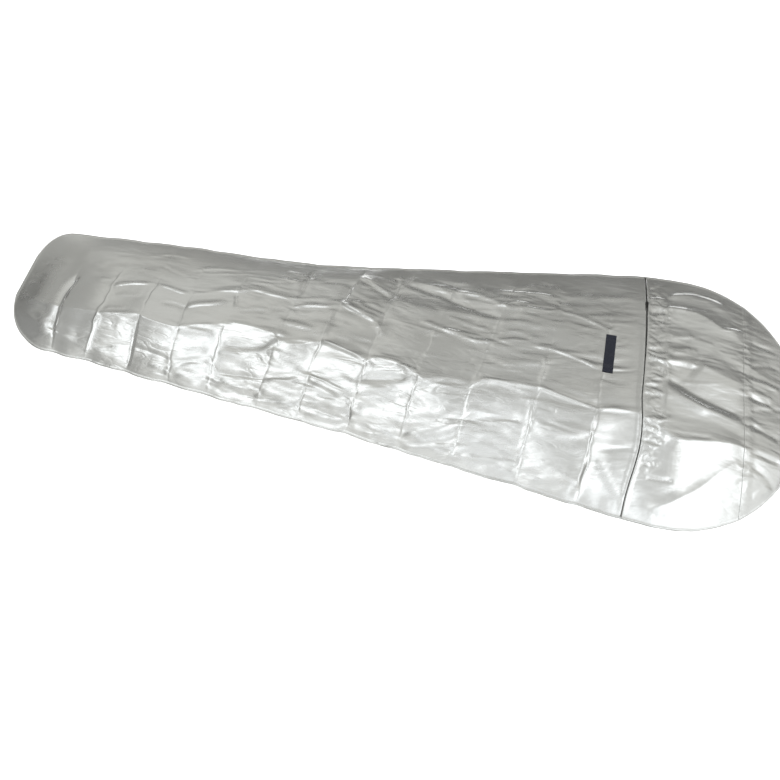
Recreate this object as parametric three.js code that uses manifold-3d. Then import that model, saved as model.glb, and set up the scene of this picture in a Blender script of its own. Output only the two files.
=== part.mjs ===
// A mummy-shaped bivy bag of silver aluminised film, lying closed on the ground with a little air in it.
// Millimetres, +Z up. +X points to the head and +Y to the far side. The origin is on the ground, under the
// middle of the bag.
import * as THREE from 'three';
import { mergeVertices } from 'three/addons/utils/BufferGeometryUtils.js';
import Module from 'manifold-3d';

const wasm = await Module();
wasm.setup();

// Driving sizes
const LENGTH = 2200;
const TOE = -LENGTH / 2;
const CROWN_END = LENGTH / 2;
const SHEET = 2;
const GAP = 0.3;

// Side seam: the top films stop short of the floor film's edge and lie flat on it for the width of the seam
const MARGIN = 1.5;
const FLANGE = 12;
const SEAM_TOP = 2 * SHEET + GAP;

// Sections: a roof with its ridge on the near side of the middle. Each slope is straight for a share of its fall
// and steepens to the seam by a power. The ends slope over these lengths.
const SLOPES = {
  far: { straight: 0.45, power: 3.2 },
  near: { straight: 0.65, power: 3 },
};
const TOE_FALL = 275;
const HEAD_FALL = 250;

// Ridge of the hood: its y along the bag
const HOOD_CREST = [
  { x: 700, y: -127 },
  { x: 730, y: -160 },
  { x: 756, y: -195 },
  { x: 828, y: -180 },
  { x: 936, y: -164 },
];

// Half widths of the floor film and height of the ridge along the bag
const SIDES = [
  { x: -985, far: 226, near: 213, crown: 46 },
  { x: -835, far: 236, near: 223, crown: 52 },
  { x: -635, far: 246, near: 246, crown: 58 },
  { x: -435, far: 249, near: 268, crown: 60 },
  { x: -235, far: 263, near: 289, crown: 62 },
  { x: -35, far: 295, near: 312, crown: 66 },
  { x: 165, far: 328, near: 340, crown: 68 },
  { x: 365, far: 363, near: 366, crown: 72 },
  { x: 565, far: 398, near: 395, crown: 74 },
  { x: 665, far: 411, near: 407, crown: 74 },
  { x: 765, far: 412, near: 412, crown: 72 },
  { x: 945, far: 412, near: 412, crown: 62 },
  { x: 1100, far: 412, near: 412, crown: 56 },
];

// Cross folds draw the side seams in by these depths, over a reach to each side of the fold
const SIDE_PULL = { far: 2, near: 3, reach: 45 };

// Rounded ends of the outline: where each corner starts, its reach along the bag and its squareness
const ENDS = {
  toeFar: { from: -985, reach: 118, power: 3.3 },
  toeNear: { from: -935, reach: 168, power: 1.9 },
  hood: { from: 765, reach: 338, power: 2 },
};

// Cross folds of the packed roll, from the toe to the zip: x at the far side, the middle and the near side,
// and the depth of the fold, negative where it stands up. The strip of film after each fold carries four lengthwise folds: their distance
// from the middle at its start, and the drift of all four along it.
const STRIPS = [
  { far: TOE, mid: TOE, near: TOE, depth: 0, outer: 147, upper: 41, ridge: -79, lower: -150, drift: 0 },
  { far: -935, mid: -938, near: -920, depth: 4, outer: 164, upper: 40, ridge: -87, lower: -165, drift: 0 },
  { far: -805, mid: -818, near: -820, depth: -3, outer: 174, upper: 31, ridge: -91, lower: -180, drift: 18 },
  { far: -685, mid: -700, near: -695, depth: 4, outer: 158, upper: 47, ridge: -85, lower: -165, drift: -18 },
  { far: -585, mid: -588, near: -575, depth: 3, outer: 120, upper: 33, ridge: -91, lower: -190, drift: 30 },
  { far: -455, mid: -463, near: -460, depth: -2, outer: 154, upper: 72, ridge: -60, lower: -195, drift: -5 },
  { far: -270, mid: -300, near: -320, depth: 1.5, outer: 180, upper: 52, ridge: -100, lower: -190, drift: 25 },
  { far: -120, mid: -180, near: -200, depth: 2.5, outer: 217, upper: 88, ridge: -63, lower: -165, drift: -42 },
  { far: -12, mid: -45, near: -65, depth: 2.5, outer: 226, upper: 59, ridge: -89, lower: -190, drift: -25 },
  { far: 138, mid: 105, near: 75, depth: -2, outer: 183, upper: 52, ridge: -142, lower: -235, drift: -5 },
  { far: 312, mid: 255, near: 218, depth: -1.5, outer: 202, upper: 39, ridge: -105, lower: -205, drift: 0 },
  { far: 440, mid: 418, near: 388, depth: -1.5, outer: 190, upper: 40, ridge: -104, lower: -188, drift: -36 },
  { far: 572, mid: 568, near: 548, depth: -2, outer: 172, upper: 3, ridge: -135, lower: -240, drift: 8 },
];
const CROSS_REACH = 14;
const LENGTH_FOLDS = [
  { name: 'outer', rise: 3 },
  { name: 'upper', rise: 4 },
  { name: 'ridge', rise: 2 },
  { name: 'lower', rise: -4 },
];
const LENGTH_REACH = 18;

// A lengthwise fold keeps this share of its rise at a cross fold, and is full from this share of its strip on
const FOLD_END = { rise: 0.35, share: 0.1 };

// The roof's own ridge passes from one strip to the next over this share of each
const RIDGE_LEAD = 0.35;
const ZIP_CALM = 0.4;
const FULL_FOLD_HEIGHT = 24;

// Pillows between the folds: middle size, how much they differ, and the steps that make them differ
const PILLOW = { size: 2, spread: 3, stripStep: 2.4, bandStep: 4.1 };

// Grid lines: shares of a strip, and shares of each band from the far seam to the near one
const STRIP_SHARES = [0, 0.12, 0.5, 0.88];
const TOE_SHARES = [0, 0.08, 0.2, 0.38, 0.6, 0.85];
const BAND_SHARES = [
  [0],
  [0, 0.3, 0.6, 0.84],
  [0, 0.17, 0.5, 0.83],
  [0, 0.17, 0.5, 0.83],
  [0, 0.17, 0.5, 0.83],
  [0, 0.16, 0.4, 0.7],
  [0, 1],
];
const FLOOR_STEPS = 110;
const EDGE_PASSES = 6;

// Zip across the chest, which bows towards the head on the near side, and the hood's sewn seam, each given like a
// cross fold
const ZIP = { far: 659, mid: 674, near: 659, bow: 12 };
const BOW = { y: -210, reach: 160 };
const ZIP_SLOT = 8;
const HOOD_SEAM = { far: 943, mid: 945, near: 954 };
const SEAM_LAP = 12;
const LAP_STEP = 18;
const HOOD_COLUMNS = 34;
const HOOD_ROWS = 12;
const HOOD_END_ROWS = 7;

// Folds of the hood: soft troughs (negative) and ridges between two points
const HOOD_FOLDS = [
  { fromX: 722, fromY: 342, toX: 890, toY: 340, reach: 34, rise: 4 },
  { fromX: 716, fromY: 280, toX: 930, toY: 240, reach: 44, rise: 5 },
  { fromX: 712, fromY: 58, toX: 816, toY: 72, reach: 32, rise: 4 },
  { fromX: 816, fromY: 82, toX: 940, toY: 37, reach: 60, rise: 4 },
  { fromX: 728, fromY: 8, toX: 945, toY: -66, reach: 44, rise: -6 },
  { fromX: 742, fromY: -186, toX: 930, toY: -163, reach: 44, rise: 3 },
  { fromX: 724, fromY: -371, toX: 890, toY: -250, reach: 36, rise: 3 },
];

// Puckers that fan out from the hood's seam over its end piece
const PUCKERS = { count: 7, firstY: 195, lastY: -235, length: 90, spread: 1.25, reach: 26, rise: -6 };

// Zip: coil in the slot, on a tape that lies under both films and stops where they come down to the seams
const COIL = { half: 3, proud: 0.6 };
const TAPE = { half: 13, thickness: 1, drop: 2.4, fromHeight: 16 };
const ZIP_STATIONS = 48;

// Slider and its pull, lying along the zip
const SLIDER = { y: 277, length: 14, width: 9, waist: 6.4, height: 3.2 };
const BRIDGE = { length: 8, width: 3, height: 2.6 };
const PULL = { length: 24, width: 6, thickness: 1.4, hole: 1.5, droop: 0.1 };

// Label, sewn on across the last cross fold
const LABEL = { x: 579, y: 57, length: 138, width: 28, thickness: 1, bite: 0.8, rows: 12, columns: 3 };

const FILM = { color: 0xc9c9c5, roughness: 0.34, metalness: 0.95 };
const DARK_TAPE = { color: 0x46443f, roughness: 0.7, metalness: 0 };
const DARK_METAL = { color: 0x3a3937, roughness: 0.4, metalness: 0.6 };
const NAVY_WEAVE = { color: 0x232530, roughness: 0.85, metalness: 0 };

const clamp01 = (value) => Math.min(1, Math.max(0, value));
const lerp = THREE.MathUtils.lerp;

// Smooth hump of height 1 that is gone at its reach
const hump = (distance, reach) => Math.cos((Math.PI / 2) * clamp01(Math.abs(distance) / reach)) ** 2;

// Smooth curve through the rows of SIDES
function along(column, x) {
  const last = SIDES.length - 2;
  const next = SIDES.findIndex((row) => row.x >= x);
  const i = next < 0 ? last : Math.min(last, Math.max(0, next - 1));
  const slope = (k) => {
    const a = SIDES[Math.max(0, k - 1)];
    const b = SIDES[Math.min(SIDES.length - 1, k + 1)];
    return (b[column] - a[column]) / (b.x - a.x);
  };
  const span = SIDES[i + 1].x - SIDES[i].x;
  const t = clamp01((x - SIDES[i].x) / span);
  const ease = t * t * (3 - 2 * t);
  const bend = span * t * (1 - t) * ((1 - t) * slope(i) - t * slope(i + 1));
  return lerp(SIDES[i][column], SIDES[i + 1][column], ease) + bend;
}

// How far the cross folds draw one side in
function sidePull(side, x) {
  let pull = 0;
  for (const fold of STRIPS.slice(1)) pull += SIDE_PULL[side] * hump(x - fold[side], SIDE_PULL.reach);
  return pull;
}

// Half width of the floor film on one side
function halfWidth(side, x) {
  const corner = (end, distance) => (1 - clamp01(distance / end.reach) ** end.power) ** (1 / end.power);
  const toe = side === 'far' ? ENDS.toeFar : ENDS.toeNear;
  const straight = along(side, x) - sidePull(side, x);
  return straight * corner(toe, toe.from - x) * corner(ENDS.hood, x - ENDS.hood.from);
}

// Edge of the top films on the side that y is on
function filmEdge(x, y) {
  return halfWidth(y >= 0 ? 'far' : 'near', x) - MARGIN;
}

// x of a line that crosses the bag, at a given y
function crossing(line, y) {
  const v = y / along(y >= 0 ? 'far' : 'near', line.mid);
  const curve = ((line.far - line.near) / 2) * v + ((line.far + line.near) / 2 - line.mid) * v * v;
  return line.mid + curve + (line.bow ?? 0) * hump(y - BOW.y, BOW.reach);
}

// y where a line that crosses the bag meets the top films' edge, on the far side (1) or the near side (-1)
function edgeOn(xAt, sign) {
  let y = 0;
  for (let pass = 0; pass < EDGE_PASSES; pass += 1) y = sign * filmEdge(xAt(y), sign);
  return y;
}

// y of the hood's ridge
function crestY(x) {
  const next = HOOD_CREST.findIndex((row) => row.x >= x);
  if (next === 0) return HOOD_CREST[0].y;
  if (next < 0) return HOOD_CREST[HOOD_CREST.length - 1].y;
  const [a, b] = [HOOD_CREST[next - 1], HOOD_CREST[next]];
  return lerp(a.y, b.y, (x - a.x) / (b.x - a.x));
}

// Height of the smooth roof over the side seam, for a ridge at the given y
function roof(x, y, ridgeY = crestY(x)) {
  const side = y >= ridgeY ? 'far' : 'near';
  const { straight, power } = SLOPES[side];
  const edge = side === 'far' ? filmEdge(x, 1) - FLANGE : FLANGE - filmEdge(x, -1);
  const v = clamp01((y - ridgeY) / (Math.abs(edge - ridgeY) < 1 ? 1 : edge - ridgeY));
  const toe = clamp01((x - TOE - MARGIN - FLANGE) / TOE_FALL);
  const head = clamp01((CROWN_END - MARGIN - FLANGE - x) / HEAD_FALL);
  const section = 1 - straight * v - (1 - straight) * v ** power;
  return along('crown', x) * section * (1 - (1 - toe) ** 2) * (1 - (1 - head) ** 2);
}

// Share of a fold's depth that is left where the film comes down to its seam
const foldShare = (height) => clamp01(height / FULL_FOLD_HEIGHT);

// Soft crease: full at its line, gone at its reach
const crease = (distance, reach) => (1 - clamp01(Math.abs(distance) / reach)) ** 2;

// Distance of a point from a fold that runs between two points
function fromSegment(fold, x, y) {
  const line = new THREE.Line3(
    new THREE.Vector3(fold.fromX, fold.fromY, 0),
    new THREE.Vector3(fold.toX, fold.toY, 0),
  );
  const point = new THREE.Vector3(x, y, 0);
  return line.closestPointToPoint(point, true, new THREE.Vector3()).distanceTo(point);
}

// y of a lengthwise fold in one strip, led to its neighbour's in the strip before or after near a cross fold
function foldY(name, strip, share, reach = FOLD_END.share) {
  const own = (s, a) => STRIPS[s][name] + STRIPS[s].drift * a;
  const before = Math.max(0, strip - 1);
  const after = Math.min(STRIPS.length - 1, strip + 1);
  const lead = clamp01(1 - share / reach) / 2;
  const tail = clamp01(1 - (1 - share) / reach) / 2;
  return own(strip, share) * (1 - lead - tail) + own(before, 1) * lead + own(after, 0) * tail;
}

// Uneven size of the pillow between the folds
function pillowSize(strip, band) {
  return PILLOW.size + PILLOW.spread * Math.sin(PILLOW.stripStep * strip + PILLOW.bandStep * band);
}

// One point of the creased body, by its share of a strip and its share of a band. The bands lie between the
// far seam's two edges, the lengthwise folds and the near seam's two edges.
function bodyPoint(strip, share, band, acrossBand) {
  const last = STRIPS.length - 1;
  const startLine = STRIPS[strip];
  const endLine = strip === last ? ZIP : STRIPS[strip + 1];
  const endOffset = strip === last ? -ZIP_SLOT / 2 : 0;
  const startOffset = strip === 0 ? MARGIN : 0;
  const xAt = (y) => lerp(crossing(startLine, y) + startOffset, crossing(endLine, y) + endOffset, share);
  const far = edgeOn(xAt, 1);
  const near = edgeOn(xAt, -1);
  const narrowFar = Math.min(1, far / along('far', STRIPS[1].far));
  const narrowNear = Math.min(1, -near / along('near', STRIPS[1].near));
  const folds = LENGTH_FOLDS.map(({ name }) => foldY(name, strip, share));
  const placed = folds.map((y) => y * (y > 0 ? narrowFar : narrowNear));
  const lines = [far, far - FLANGE * narrowFar, ...placed, near + FLANGE * narrowNear, near];
  const y = lerp(lines[band], lines[band + 1], acrossBand);
  const x = xAt(y);
  const zipCalm = strip === last ? clamp01((1 - share) / ZIP_CALM - 0.5) : 1;
  let lift = 0;
  LENGTH_FOLDS.forEach(({ rise }, k) => {
    const fade = lerp(FOLD_END.rise, 1, clamp01(Math.min(share, 1 - share) / FOLD_END.share));
    lift += rise * fade * zipCalm * crease(y - placed[k], LENGTH_REACH);
  });
  lift -= startLine.depth * crease(x - crossing(startLine, y), CROSS_REACH);
  lift -= (endLine.depth ?? 0) * crease(x - crossing(endLine, y), CROSS_REACH);
  lift += zipCalm * pillowSize(strip, band) * Math.sin(Math.PI * share) * Math.sin(Math.PI * acrossBand);
  const height = roof(x, y, foldY('ridge', strip, share, RIDGE_LEAD) * narrowNear);
  return new THREE.Vector3(x, y, SEAM_TOP + height + lift * foldShare(height));
}

// Height of the hood's film
function hoodHeight(x, y) {
  let lift = 0;
  for (const fold of HOOD_FOLDS) {
    lift += fold.rise * crease(fromSegment(fold, x, y), fold.reach);
  }
  for (let k = 0; k < PUCKERS.count; k += 1) {
    const fromY = lerp(PUCKERS.firstY, PUCKERS.lastY, k / (PUCKERS.count - 1));
    const fromX = crossing(HOOD_SEAM, fromY) + SEAM_LAP;
    const toY = fromY / PUCKERS.spread;
    const fold = { fromX, fromY, toX: fromX + PUCKERS.length, toY };
    lift += PUCKERS.rise * crease(fromSegment(fold, x, y), PUCKERS.reach);
  }
  const height = roof(x, y);
  return SEAM_TOP + height + lift * foldShare(height);
}

// Closed sheet between a grid of outer points and the underside below each of them
function sheetGeometry(outer, underside = (p) => p.z - SHEET) {
  const rows = outer.length;
  const columns = outer[0].length;
  const layer = rows * columns;
  const points = outer.flat();
  const positions = points.flatMap((p) => [p.x, p.y, p.z]);
  positions.push(...points.flatMap((p) => [p.x, p.y, underside(p)]));
  const at = (i, j) => i * columns + j;
  const triangles = [];
  for (let i = 0; i < rows - 1; i += 1) {
    for (let j = 0; j < columns - 1; j += 1) {
      const [a, b, c, d] = [at(i, j), at(i, j + 1), at(i + 1, j), at(i + 1, j + 1)];
      triangles.push(a, b, c, c, b, d);
      triangles.push(a + layer, c + layer, b + layer, c + layer, d + layer, b + layer);
    }
  }
  const rim = [];
  for (let j = 0; j < columns - 1; j += 1) rim.push([at(0, j), at(0, j + 1)]);
  for (let i = 0; i < rows - 1; i += 1) rim.push([at(i, columns - 1), at(i + 1, columns - 1)]);
  for (let j = columns - 1; j > 0; j -= 1) rim.push([at(rows - 1, j), at(rows - 1, j - 1)]);
  for (let i = rows - 1; i > 0; i -= 1) rim.push([at(i, 0), at(i - 1, 0)]);
  for (const [a, b] of rim) triangles.push(b, a, a + layer, b, a + layer, b + layer);
  const geometry = new THREE.BufferGeometry();
  geometry.setAttribute('position', new THREE.Float32BufferAttribute(positions, 3));
  geometry.setIndex(triangles);
  geometry.computeVertexNormals();
  return geometry;
}

function mesh(name, geometry, finish) {
  const piece = new THREE.Mesh(geometry, new THREE.MeshStandardMaterial(finish));
  piece.name = name;
  return piece;
}

// Floor film: the outline, flat on the ground
function floorPanel() {
  const outline = [];
  const stations = [];
  for (let k = 0; k <= FLOOR_STEPS; k += 1) {
    stations.push(TOE * Math.cos((Math.PI * k) / FLOOR_STEPS));
  }
  for (const x of stations) outline.push(new THREE.Vector2(x, -halfWidth('near', x)));
  for (const x of stations.reverse()) outline.push(new THREE.Vector2(x, halfWidth('far', x)));
  return new THREE.ExtrudeGeometry(new THREE.Shape(outline), { depth: SHEET, bevelEnabled: false, steps: 1 });
}

// Body film's outer points: a grid that follows the folds, closer beside them
function bodyRows() {
  const rows = [];
  const addRow = (strip, share) => {
    const inBand = (shares, band) => shares.map((place) => bodyPoint(strip, share, band, place));
    rows.push(BAND_SHARES.flatMap(inBand));
  };
  STRIPS.forEach((_, strip) => {
    for (const share of strip === 0 ? TOE_SHARES : STRIP_SHARES) addRow(strip, share);
  });
  addRow(STRIPS.length - 1, 1);
  return rows;
}

// Film of the hood over the lines that cross it, with its seam lap lifted onto the film before it
function hoodSheet(lines, lift) {
  const rows = lines.map((xAt, i) => {
    const far = edgeOn(xAt, 1);
    const near = edgeOn(xAt, -1);
    const row = [];
    for (let j = 0; j <= HOOD_COLUMNS; j += 1) {
      const inner = lerp(far - FLANGE, near + FLANGE, (j - 1) / (HOOD_COLUMNS - 2));
      const y = j === 0 ? far : j === HOOD_COLUMNS ? near : inner;
      const x = xAt(y);
      row.push(new THREE.Vector3(x, y, hoodHeight(x, y) + lift[i]));
    }
    return row;
  });
  return sheetGeometry(rows);
}

// Lines from one crossing line to another, the first and the last included
function linesBetween(startX, endX, count) {
  const shares = Array.from({ length: count + 1 }, (_, i) => i / count);
  return shares.map((share) => (y) => lerp(startX(y), endX(y), share));
}

const lapStart = (y) => crossing(HOOD_SEAM, y) - SEAM_LAP / 2;
const lapEnd = (y) => crossing(HOOD_SEAM, y) + SEAM_LAP / 2;

function hoodPanel() {
  const zipEdge = (y) => crossing(ZIP, y) + ZIP_SLOT / 2;
  const lines = [...linesBetween(zipEdge, lapStart, HOOD_ROWS), lapEnd];
  return hoodSheet(lines, lines.map(() => 0));
}

function hoodEndPanel() {
  const afterLap = (y) => lapEnd(y) + LAP_STEP;
  const lines = [lapStart, lapEnd, ...linesBetween(afterLap, () => CROWN_END - MARGIN, HOOD_END_ROWS)];
  const onHood = SHEET + GAP;
  return hoodSheet(lines, lines.map((_, i) => (i < 2 ? onHood : 0)));
}

// Solid for joins and cuts, from a closed geometry
function solidOf(geometry) {
  const bare = geometry.clone();
  bare.deleteAttribute('normal');
  bare.deleteAttribute('uv');
  const merged = mergeVertices(bare);
  const vertProperties = new Float32Array(merged.attributes.position.array);
  const triVerts = new Uint32Array(merged.index.array);
  return new wasm.Manifold(new wasm.Mesh({ numProp: 3, vertProperties, triVerts }));
}

function geometryOf(solid) {
  const { vertProperties, triVerts } = solid.getMesh();
  const geometry = new THREE.BufferGeometry();
  geometry.setAttribute('position', new THREE.Float32BufferAttribute(vertProperties, 3));
  geometry.setIndex(Array.from(triVerts));
  geometry.computeVertexNormals();
  return geometry;
}

const joined = (...geometries) => geometryOf(geometries.map(solidOf).reduce((a, b) => a.add(b)));

// Zip: a strip of tape under the films and the coil that stands up in the slot between them
function zipStrip() {
  const ground = SHEET + GAP;
  const filmAt = (y) => SEAM_TOP + roof(crossing(ZIP, y), y);
  const far = filmEdge(ZIP.far, 1);
  const near = -filmEdge(ZIP.near, -1);
  const strip = (half, lift, inside, underside) => {
    const rows = [];
    for (let i = 0; i <= ZIP_STATIONS; i += 1) {
      const y = lerp(near, far, i / ZIP_STATIONS);
      const x = crossing(ZIP, y);
      if (filmAt(y) < inside) continue;
      rows.push([-half, half].map((across) => new THREE.Vector3(x + across, y, filmAt(y) + lift)));
    }
    return sheetGeometry(rows, underside);
  };
  const tapeTop = -SHEET - TAPE.drop;
  const tape = strip(TAPE.half, tapeTop, TAPE.fromHeight, (p) => p.z - TAPE.thickness);
  const coilFoot = tapeTop - COIL.proud - TAPE.thickness / 2;
  const coil = strip(COIL.half, COIL.proud, 0, (p) => Math.max(ground, p.z + coilFoot));
  return joined(coil, tape);
}

// Slider: a waisted block on the coil, with a bridge that holds a flat pull
function zipSlider() {
  const { length, width, waist, height } = SLIDER;
  const outline = new THREE.Shape();
  outline.moveTo(-waist / 2, -length / 2);
  outline.lineTo(waist / 2, -length / 2);
  outline.quadraticCurveTo(waist / 2, 0, width / 2, length / 4);
  outline.lineTo(width / 2, length / 2);
  outline.lineTo(-width / 2, length / 2);
  outline.lineTo(-width / 2, length / 4);
  outline.quadraticCurveTo(-waist / 2, 0, -waist / 2, -length / 2);
  const block = new THREE.ExtrudeGeometry(outline, { depth: height, bevelEnabled: false, curveSegments: 5 });
  const bridge = new THREE.BoxGeometry(BRIDGE.width, BRIDGE.length, BRIDGE.height);
  bridge.translate(0, 0, height + BRIDGE.height / 2 - GAP);
  const tab = new THREE.Shape();
  const end = PULL.width / 2;
  tab.moveTo(-end, 0);
  tab.lineTo(-end, end - PULL.length);
  tab.absarc(0, end - PULL.length, end, Math.PI, 2 * Math.PI, false);
  tab.lineTo(end, 0);
  const eye = new THREE.Path();
  eye.absarc(0, end - PULL.length, PULL.hole, 0, 2 * Math.PI, true);
  tab.holes.push(eye);
  const flat = { depth: PULL.thickness, bevelEnabled: false, curveSegments: 8 };
  const pull = new THREE.ExtrudeGeometry(tab, flat);
  pull.rotateX(PULL.droop);
  pull.translate(0, 0, height + BRIDGE.height / 2 - PULL.thickness / 2);
  return joined(block, bridge, pull);
}

// Label: a thin strip cut to lie on the film below it
function labelStrip(film, filmRows) {
  const caster = new THREE.Raycaster();
  const down = new THREE.Vector3(0, 0, -1);
  const filmAt = (x, y) => {
    caster.set(new THREE.Vector3(x, y, LENGTH), down);
    return caster.intersectObject(film)[0].point.z;
  };
  const rows = [];
  for (let i = 0; i <= LABEL.rows; i += 1) {
    const y = LABEL.y + LABEL.length * (i / LABEL.rows - 0.5);
    const row = [];
    for (let j = 0; j <= LABEL.columns; j += 1) {
      const x = LABEL.x + LABEL.width * (j / LABEL.columns - 0.5);
      row.push(new THREE.Vector3(x, y, filmAt(x, y) + GAP + LABEL.thickness));
    }
    rows.push(row);
  }
  const strip = sheetGeometry(rows, (p) => p.z - GAP - LABEL.thickness - LABEL.bite);
  const seat = sheetGeometry(filmRows, (p) => p.z - LABEL.width).translate(0, 0, GAP);
  return geometryOf(solidOf(strip).subtract(solidOf(seat)));
}

const rowsOfBody = bodyRows();
const bodyFilm = mesh('body_panel', sheetGeometry(rowsOfBody), FILM);
const slider = mesh('zip_slider', zipSlider(), DARK_METAL);
const sliderX = crossing(ZIP, SLIDER.y);
const fall = roof(sliderX, SLIDER.y + 1) - roof(sliderX, SLIDER.y - 1);
slider.position.set(sliderX, SLIDER.y, SEAM_TOP + roof(sliderX, SLIDER.y) + COIL.proud + 2 * GAP);
slider.rotation.x = Math.atan2(fall, 2);

const bag = new THREE.Group();
bag.name = 'bivy_bag';
bag.add(
  mesh('floor_panel', floorPanel(), FILM),
  bodyFilm,
  mesh('hood_panel', hoodPanel(), FILM),
  mesh('hood_end_panel', hoodEndPanel(), FILM),
  mesh('zip', zipStrip(), DARK_TAPE),
  slider,
  mesh('label', labelStrip(bodyFilm, rowsOfBody), NAVY_WEAVE),
);
export default bag;
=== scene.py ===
"""Looks of a mummy-shaped bivy bag of silver aluminised film, lying closed on the ground.

The films, zip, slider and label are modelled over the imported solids, in their frame. Tables and shapes are in
millimetres, and meshes are in metres.
"""

import logging
import math
from dataclasses import dataclass
from enum import Enum, IntEnum
from typing import Any, Callable, Iterable, Sequence

import bpy
import numpy as np
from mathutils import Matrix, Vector
from mathutils.bvhtree import BVHTree


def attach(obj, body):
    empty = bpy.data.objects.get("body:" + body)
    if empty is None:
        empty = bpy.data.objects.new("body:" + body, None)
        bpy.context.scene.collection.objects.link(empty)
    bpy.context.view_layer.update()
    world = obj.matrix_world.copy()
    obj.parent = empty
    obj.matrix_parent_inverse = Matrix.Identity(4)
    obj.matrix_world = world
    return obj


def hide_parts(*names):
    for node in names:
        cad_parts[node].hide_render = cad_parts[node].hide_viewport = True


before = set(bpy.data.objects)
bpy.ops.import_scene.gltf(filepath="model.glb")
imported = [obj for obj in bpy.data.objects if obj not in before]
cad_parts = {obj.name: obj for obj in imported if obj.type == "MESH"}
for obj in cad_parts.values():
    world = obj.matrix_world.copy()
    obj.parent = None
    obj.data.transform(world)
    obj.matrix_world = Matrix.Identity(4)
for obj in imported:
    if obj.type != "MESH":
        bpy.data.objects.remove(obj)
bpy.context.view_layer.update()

LOG = logging.getLogger("bivy_bag")
MM = 0.001
Array = np.ndarray
Triple = tuple[float, float, float]
Colour = Triple
# x of a line across the bag, at each y.
LineX = Callable[[Array], Array]
# Point, direction and normal of a copied shape.
Place = tuple[Vector, Vector, Vector]


class Side(Enum):
    """The long sides of the bag, by the sign of y."""

    FAR = 1
    NEAR = -1


class Column(IntEnum):
    """Columns of the outline's stations: half widths on both sides, and the ridge's height."""

    FAR = 1
    NEAR = 2
    RIDGE = 3


class Slot(Enum):
    """Material slots of the part's record."""

    FILM = "film"
    TAPE = "zip_tape"
    METAL = "slider_metal"
    LABEL = "label_weave"


def ease(low: float, high: float, value: Array) -> Array:
    """Smooth step from 0 at low to 1 at high."""
    share = np.clip((value - low) / (high - low), 0, 1)
    return share * share * (3 - 2 * share)


def at_least(least: Array | float, share: Array) -> Array:
    """A share that starts at its least instead of at 0."""
    return least + (1 - least) * share


def tent(distance: Array, reach: Array | float, power: float = 1.15) -> Array:
    """Soft crease of height 1 at its line, gone at its reach, with flanks that ease off by a power."""
    return (1 - np.clip(np.abs(distance) / reach, 0, 1)) ** power


def hump(distance: Array, reach: float) -> Array:
    """Smooth hump of height 1 that is gone at its reach."""
    return np.cos(np.pi / 2 * np.clip(np.abs(distance) / reach, 0, 1)) ** 2


@dataclass(frozen=True)
class Ramp:
    """A value that eases from a first level to a last one between two places."""

    start: float
    end: float
    first: float = 0.0
    last: float = 1.0

    def at(self, place: Array) -> Array:
        """The value at each place."""
        return self.first + (self.last - self.first) * ease(self.start, self.end, place)


def gathered(count: int, pull: float) -> Array:
    """Shares from 0 to 1 that stand closer together at both ends, by the pull."""
    even = np.linspace(0, 1, count + 1)
    return even - pull * np.sin(2 * np.pi * even) / (2 * np.pi)


def between(start: LineX, end: LineX, share: float) -> LineX:
    """A line across the bag, between two others.

    Args:
        start: The line before it.
        end: The line after it.
        share: Its share of the way between them.

    Returns:
        x of the line at each y.
    """

    def x_at(y: Array) -> Array:
        """x of the line."""
        return start(y) + (end(y) - start(y)) * share

    return x_at


@dataclass(frozen=True)
class CrossLine:
    """A line across the bag, by its x at the far side, in the middle and at the near side."""

    far: float
    mid: float
    near: float
    bow: float = 0.0

    def at(self, side: Side) -> float:
        """x at one side of the bag."""
        return self.far if side is Side.FAR else self.near


@dataclass(frozen=True)
class Strip:
    """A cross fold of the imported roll, its depth (below 0 for a ridge), and the lengthwise folds after it."""

    line: CrossLine
    depth: float
    folds: tuple[float, float, float, float]
    drift: float


@dataclass(frozen=True)
class Corner:
    """A rounded end of the outline."""

    start: float
    reach: float
    power: float

    def keep(self, distance: Array) -> Array:
        """Share of the width that is left past the corner's start."""
        return (1 - np.clip(distance / self.reach, 0, 1) ** self.power) ** (1 / self.power)


@dataclass(frozen=True)
class Slope:
    """One side of the roof: straight for a share of its fall, steeper towards the seam by a power."""

    straight: float
    power: float

    def fall(self, share: Array) -> Array:
        """Share of the ridge's height that is left at a share of the way to the seam."""
        return 1 - self.straight * share - (1 - self.straight) * share**self.power


@dataclass(frozen=True)
class Edge:
    """One long edge of the bag: its half width, its toe corner, its dents at cross folds and its waves."""

    column: Column
    toe: Corner
    dent: float
    wave: float


STRIPS = (
    Strip(CrossLine(-1100, -1100, -1100), 0.0, (-150, -79, 41, 147), 0),
    Strip(CrossLine(-935, -938, -920), 1.4, (-165, -87, 40, 164), 0),
    Strip(CrossLine(-805, -818, -820), -1.8, (-180, -91, 31, 174), 18),
    Strip(CrossLine(-685, -700, -695), 1.4, (-165, -85, 47, 158), -18),
    Strip(CrossLine(-585, -588, -575), 0.9, (-190, -91, 33, 120), 30),
    Strip(CrossLine(-455, -463, -460), -0.9, (-195, -60, 72, 154), -5),
    Strip(CrossLine(-270, -300, -320), 0.35, (-190, -100, 52, 180), 25),
    Strip(CrossLine(-120, -180, -200), 0.8, (-165, -63, 88, 217), -42),
    Strip(CrossLine(-12, -45, -65), 0.7, (-190, -89, 59, 226), -25),
    Strip(CrossLine(138, 105, 75), -0.7, (-235, -142, 52, 183), -5),
    Strip(CrossLine(312, 255, 218), -0.45, (-205, -105, 39, 202), 0),
    Strip(CrossLine(440, 418, 388), -0.45, (-188, -104, 40, 190), -36),
    Strip(CrossLine(572, 568, 548), -0.8, (-240, -135, 3, 172), 8),
)
ZIP = CrossLine(659, 674, 659, 12)
HOOD_SEAM = CrossLine(943, 945, 954)


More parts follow.
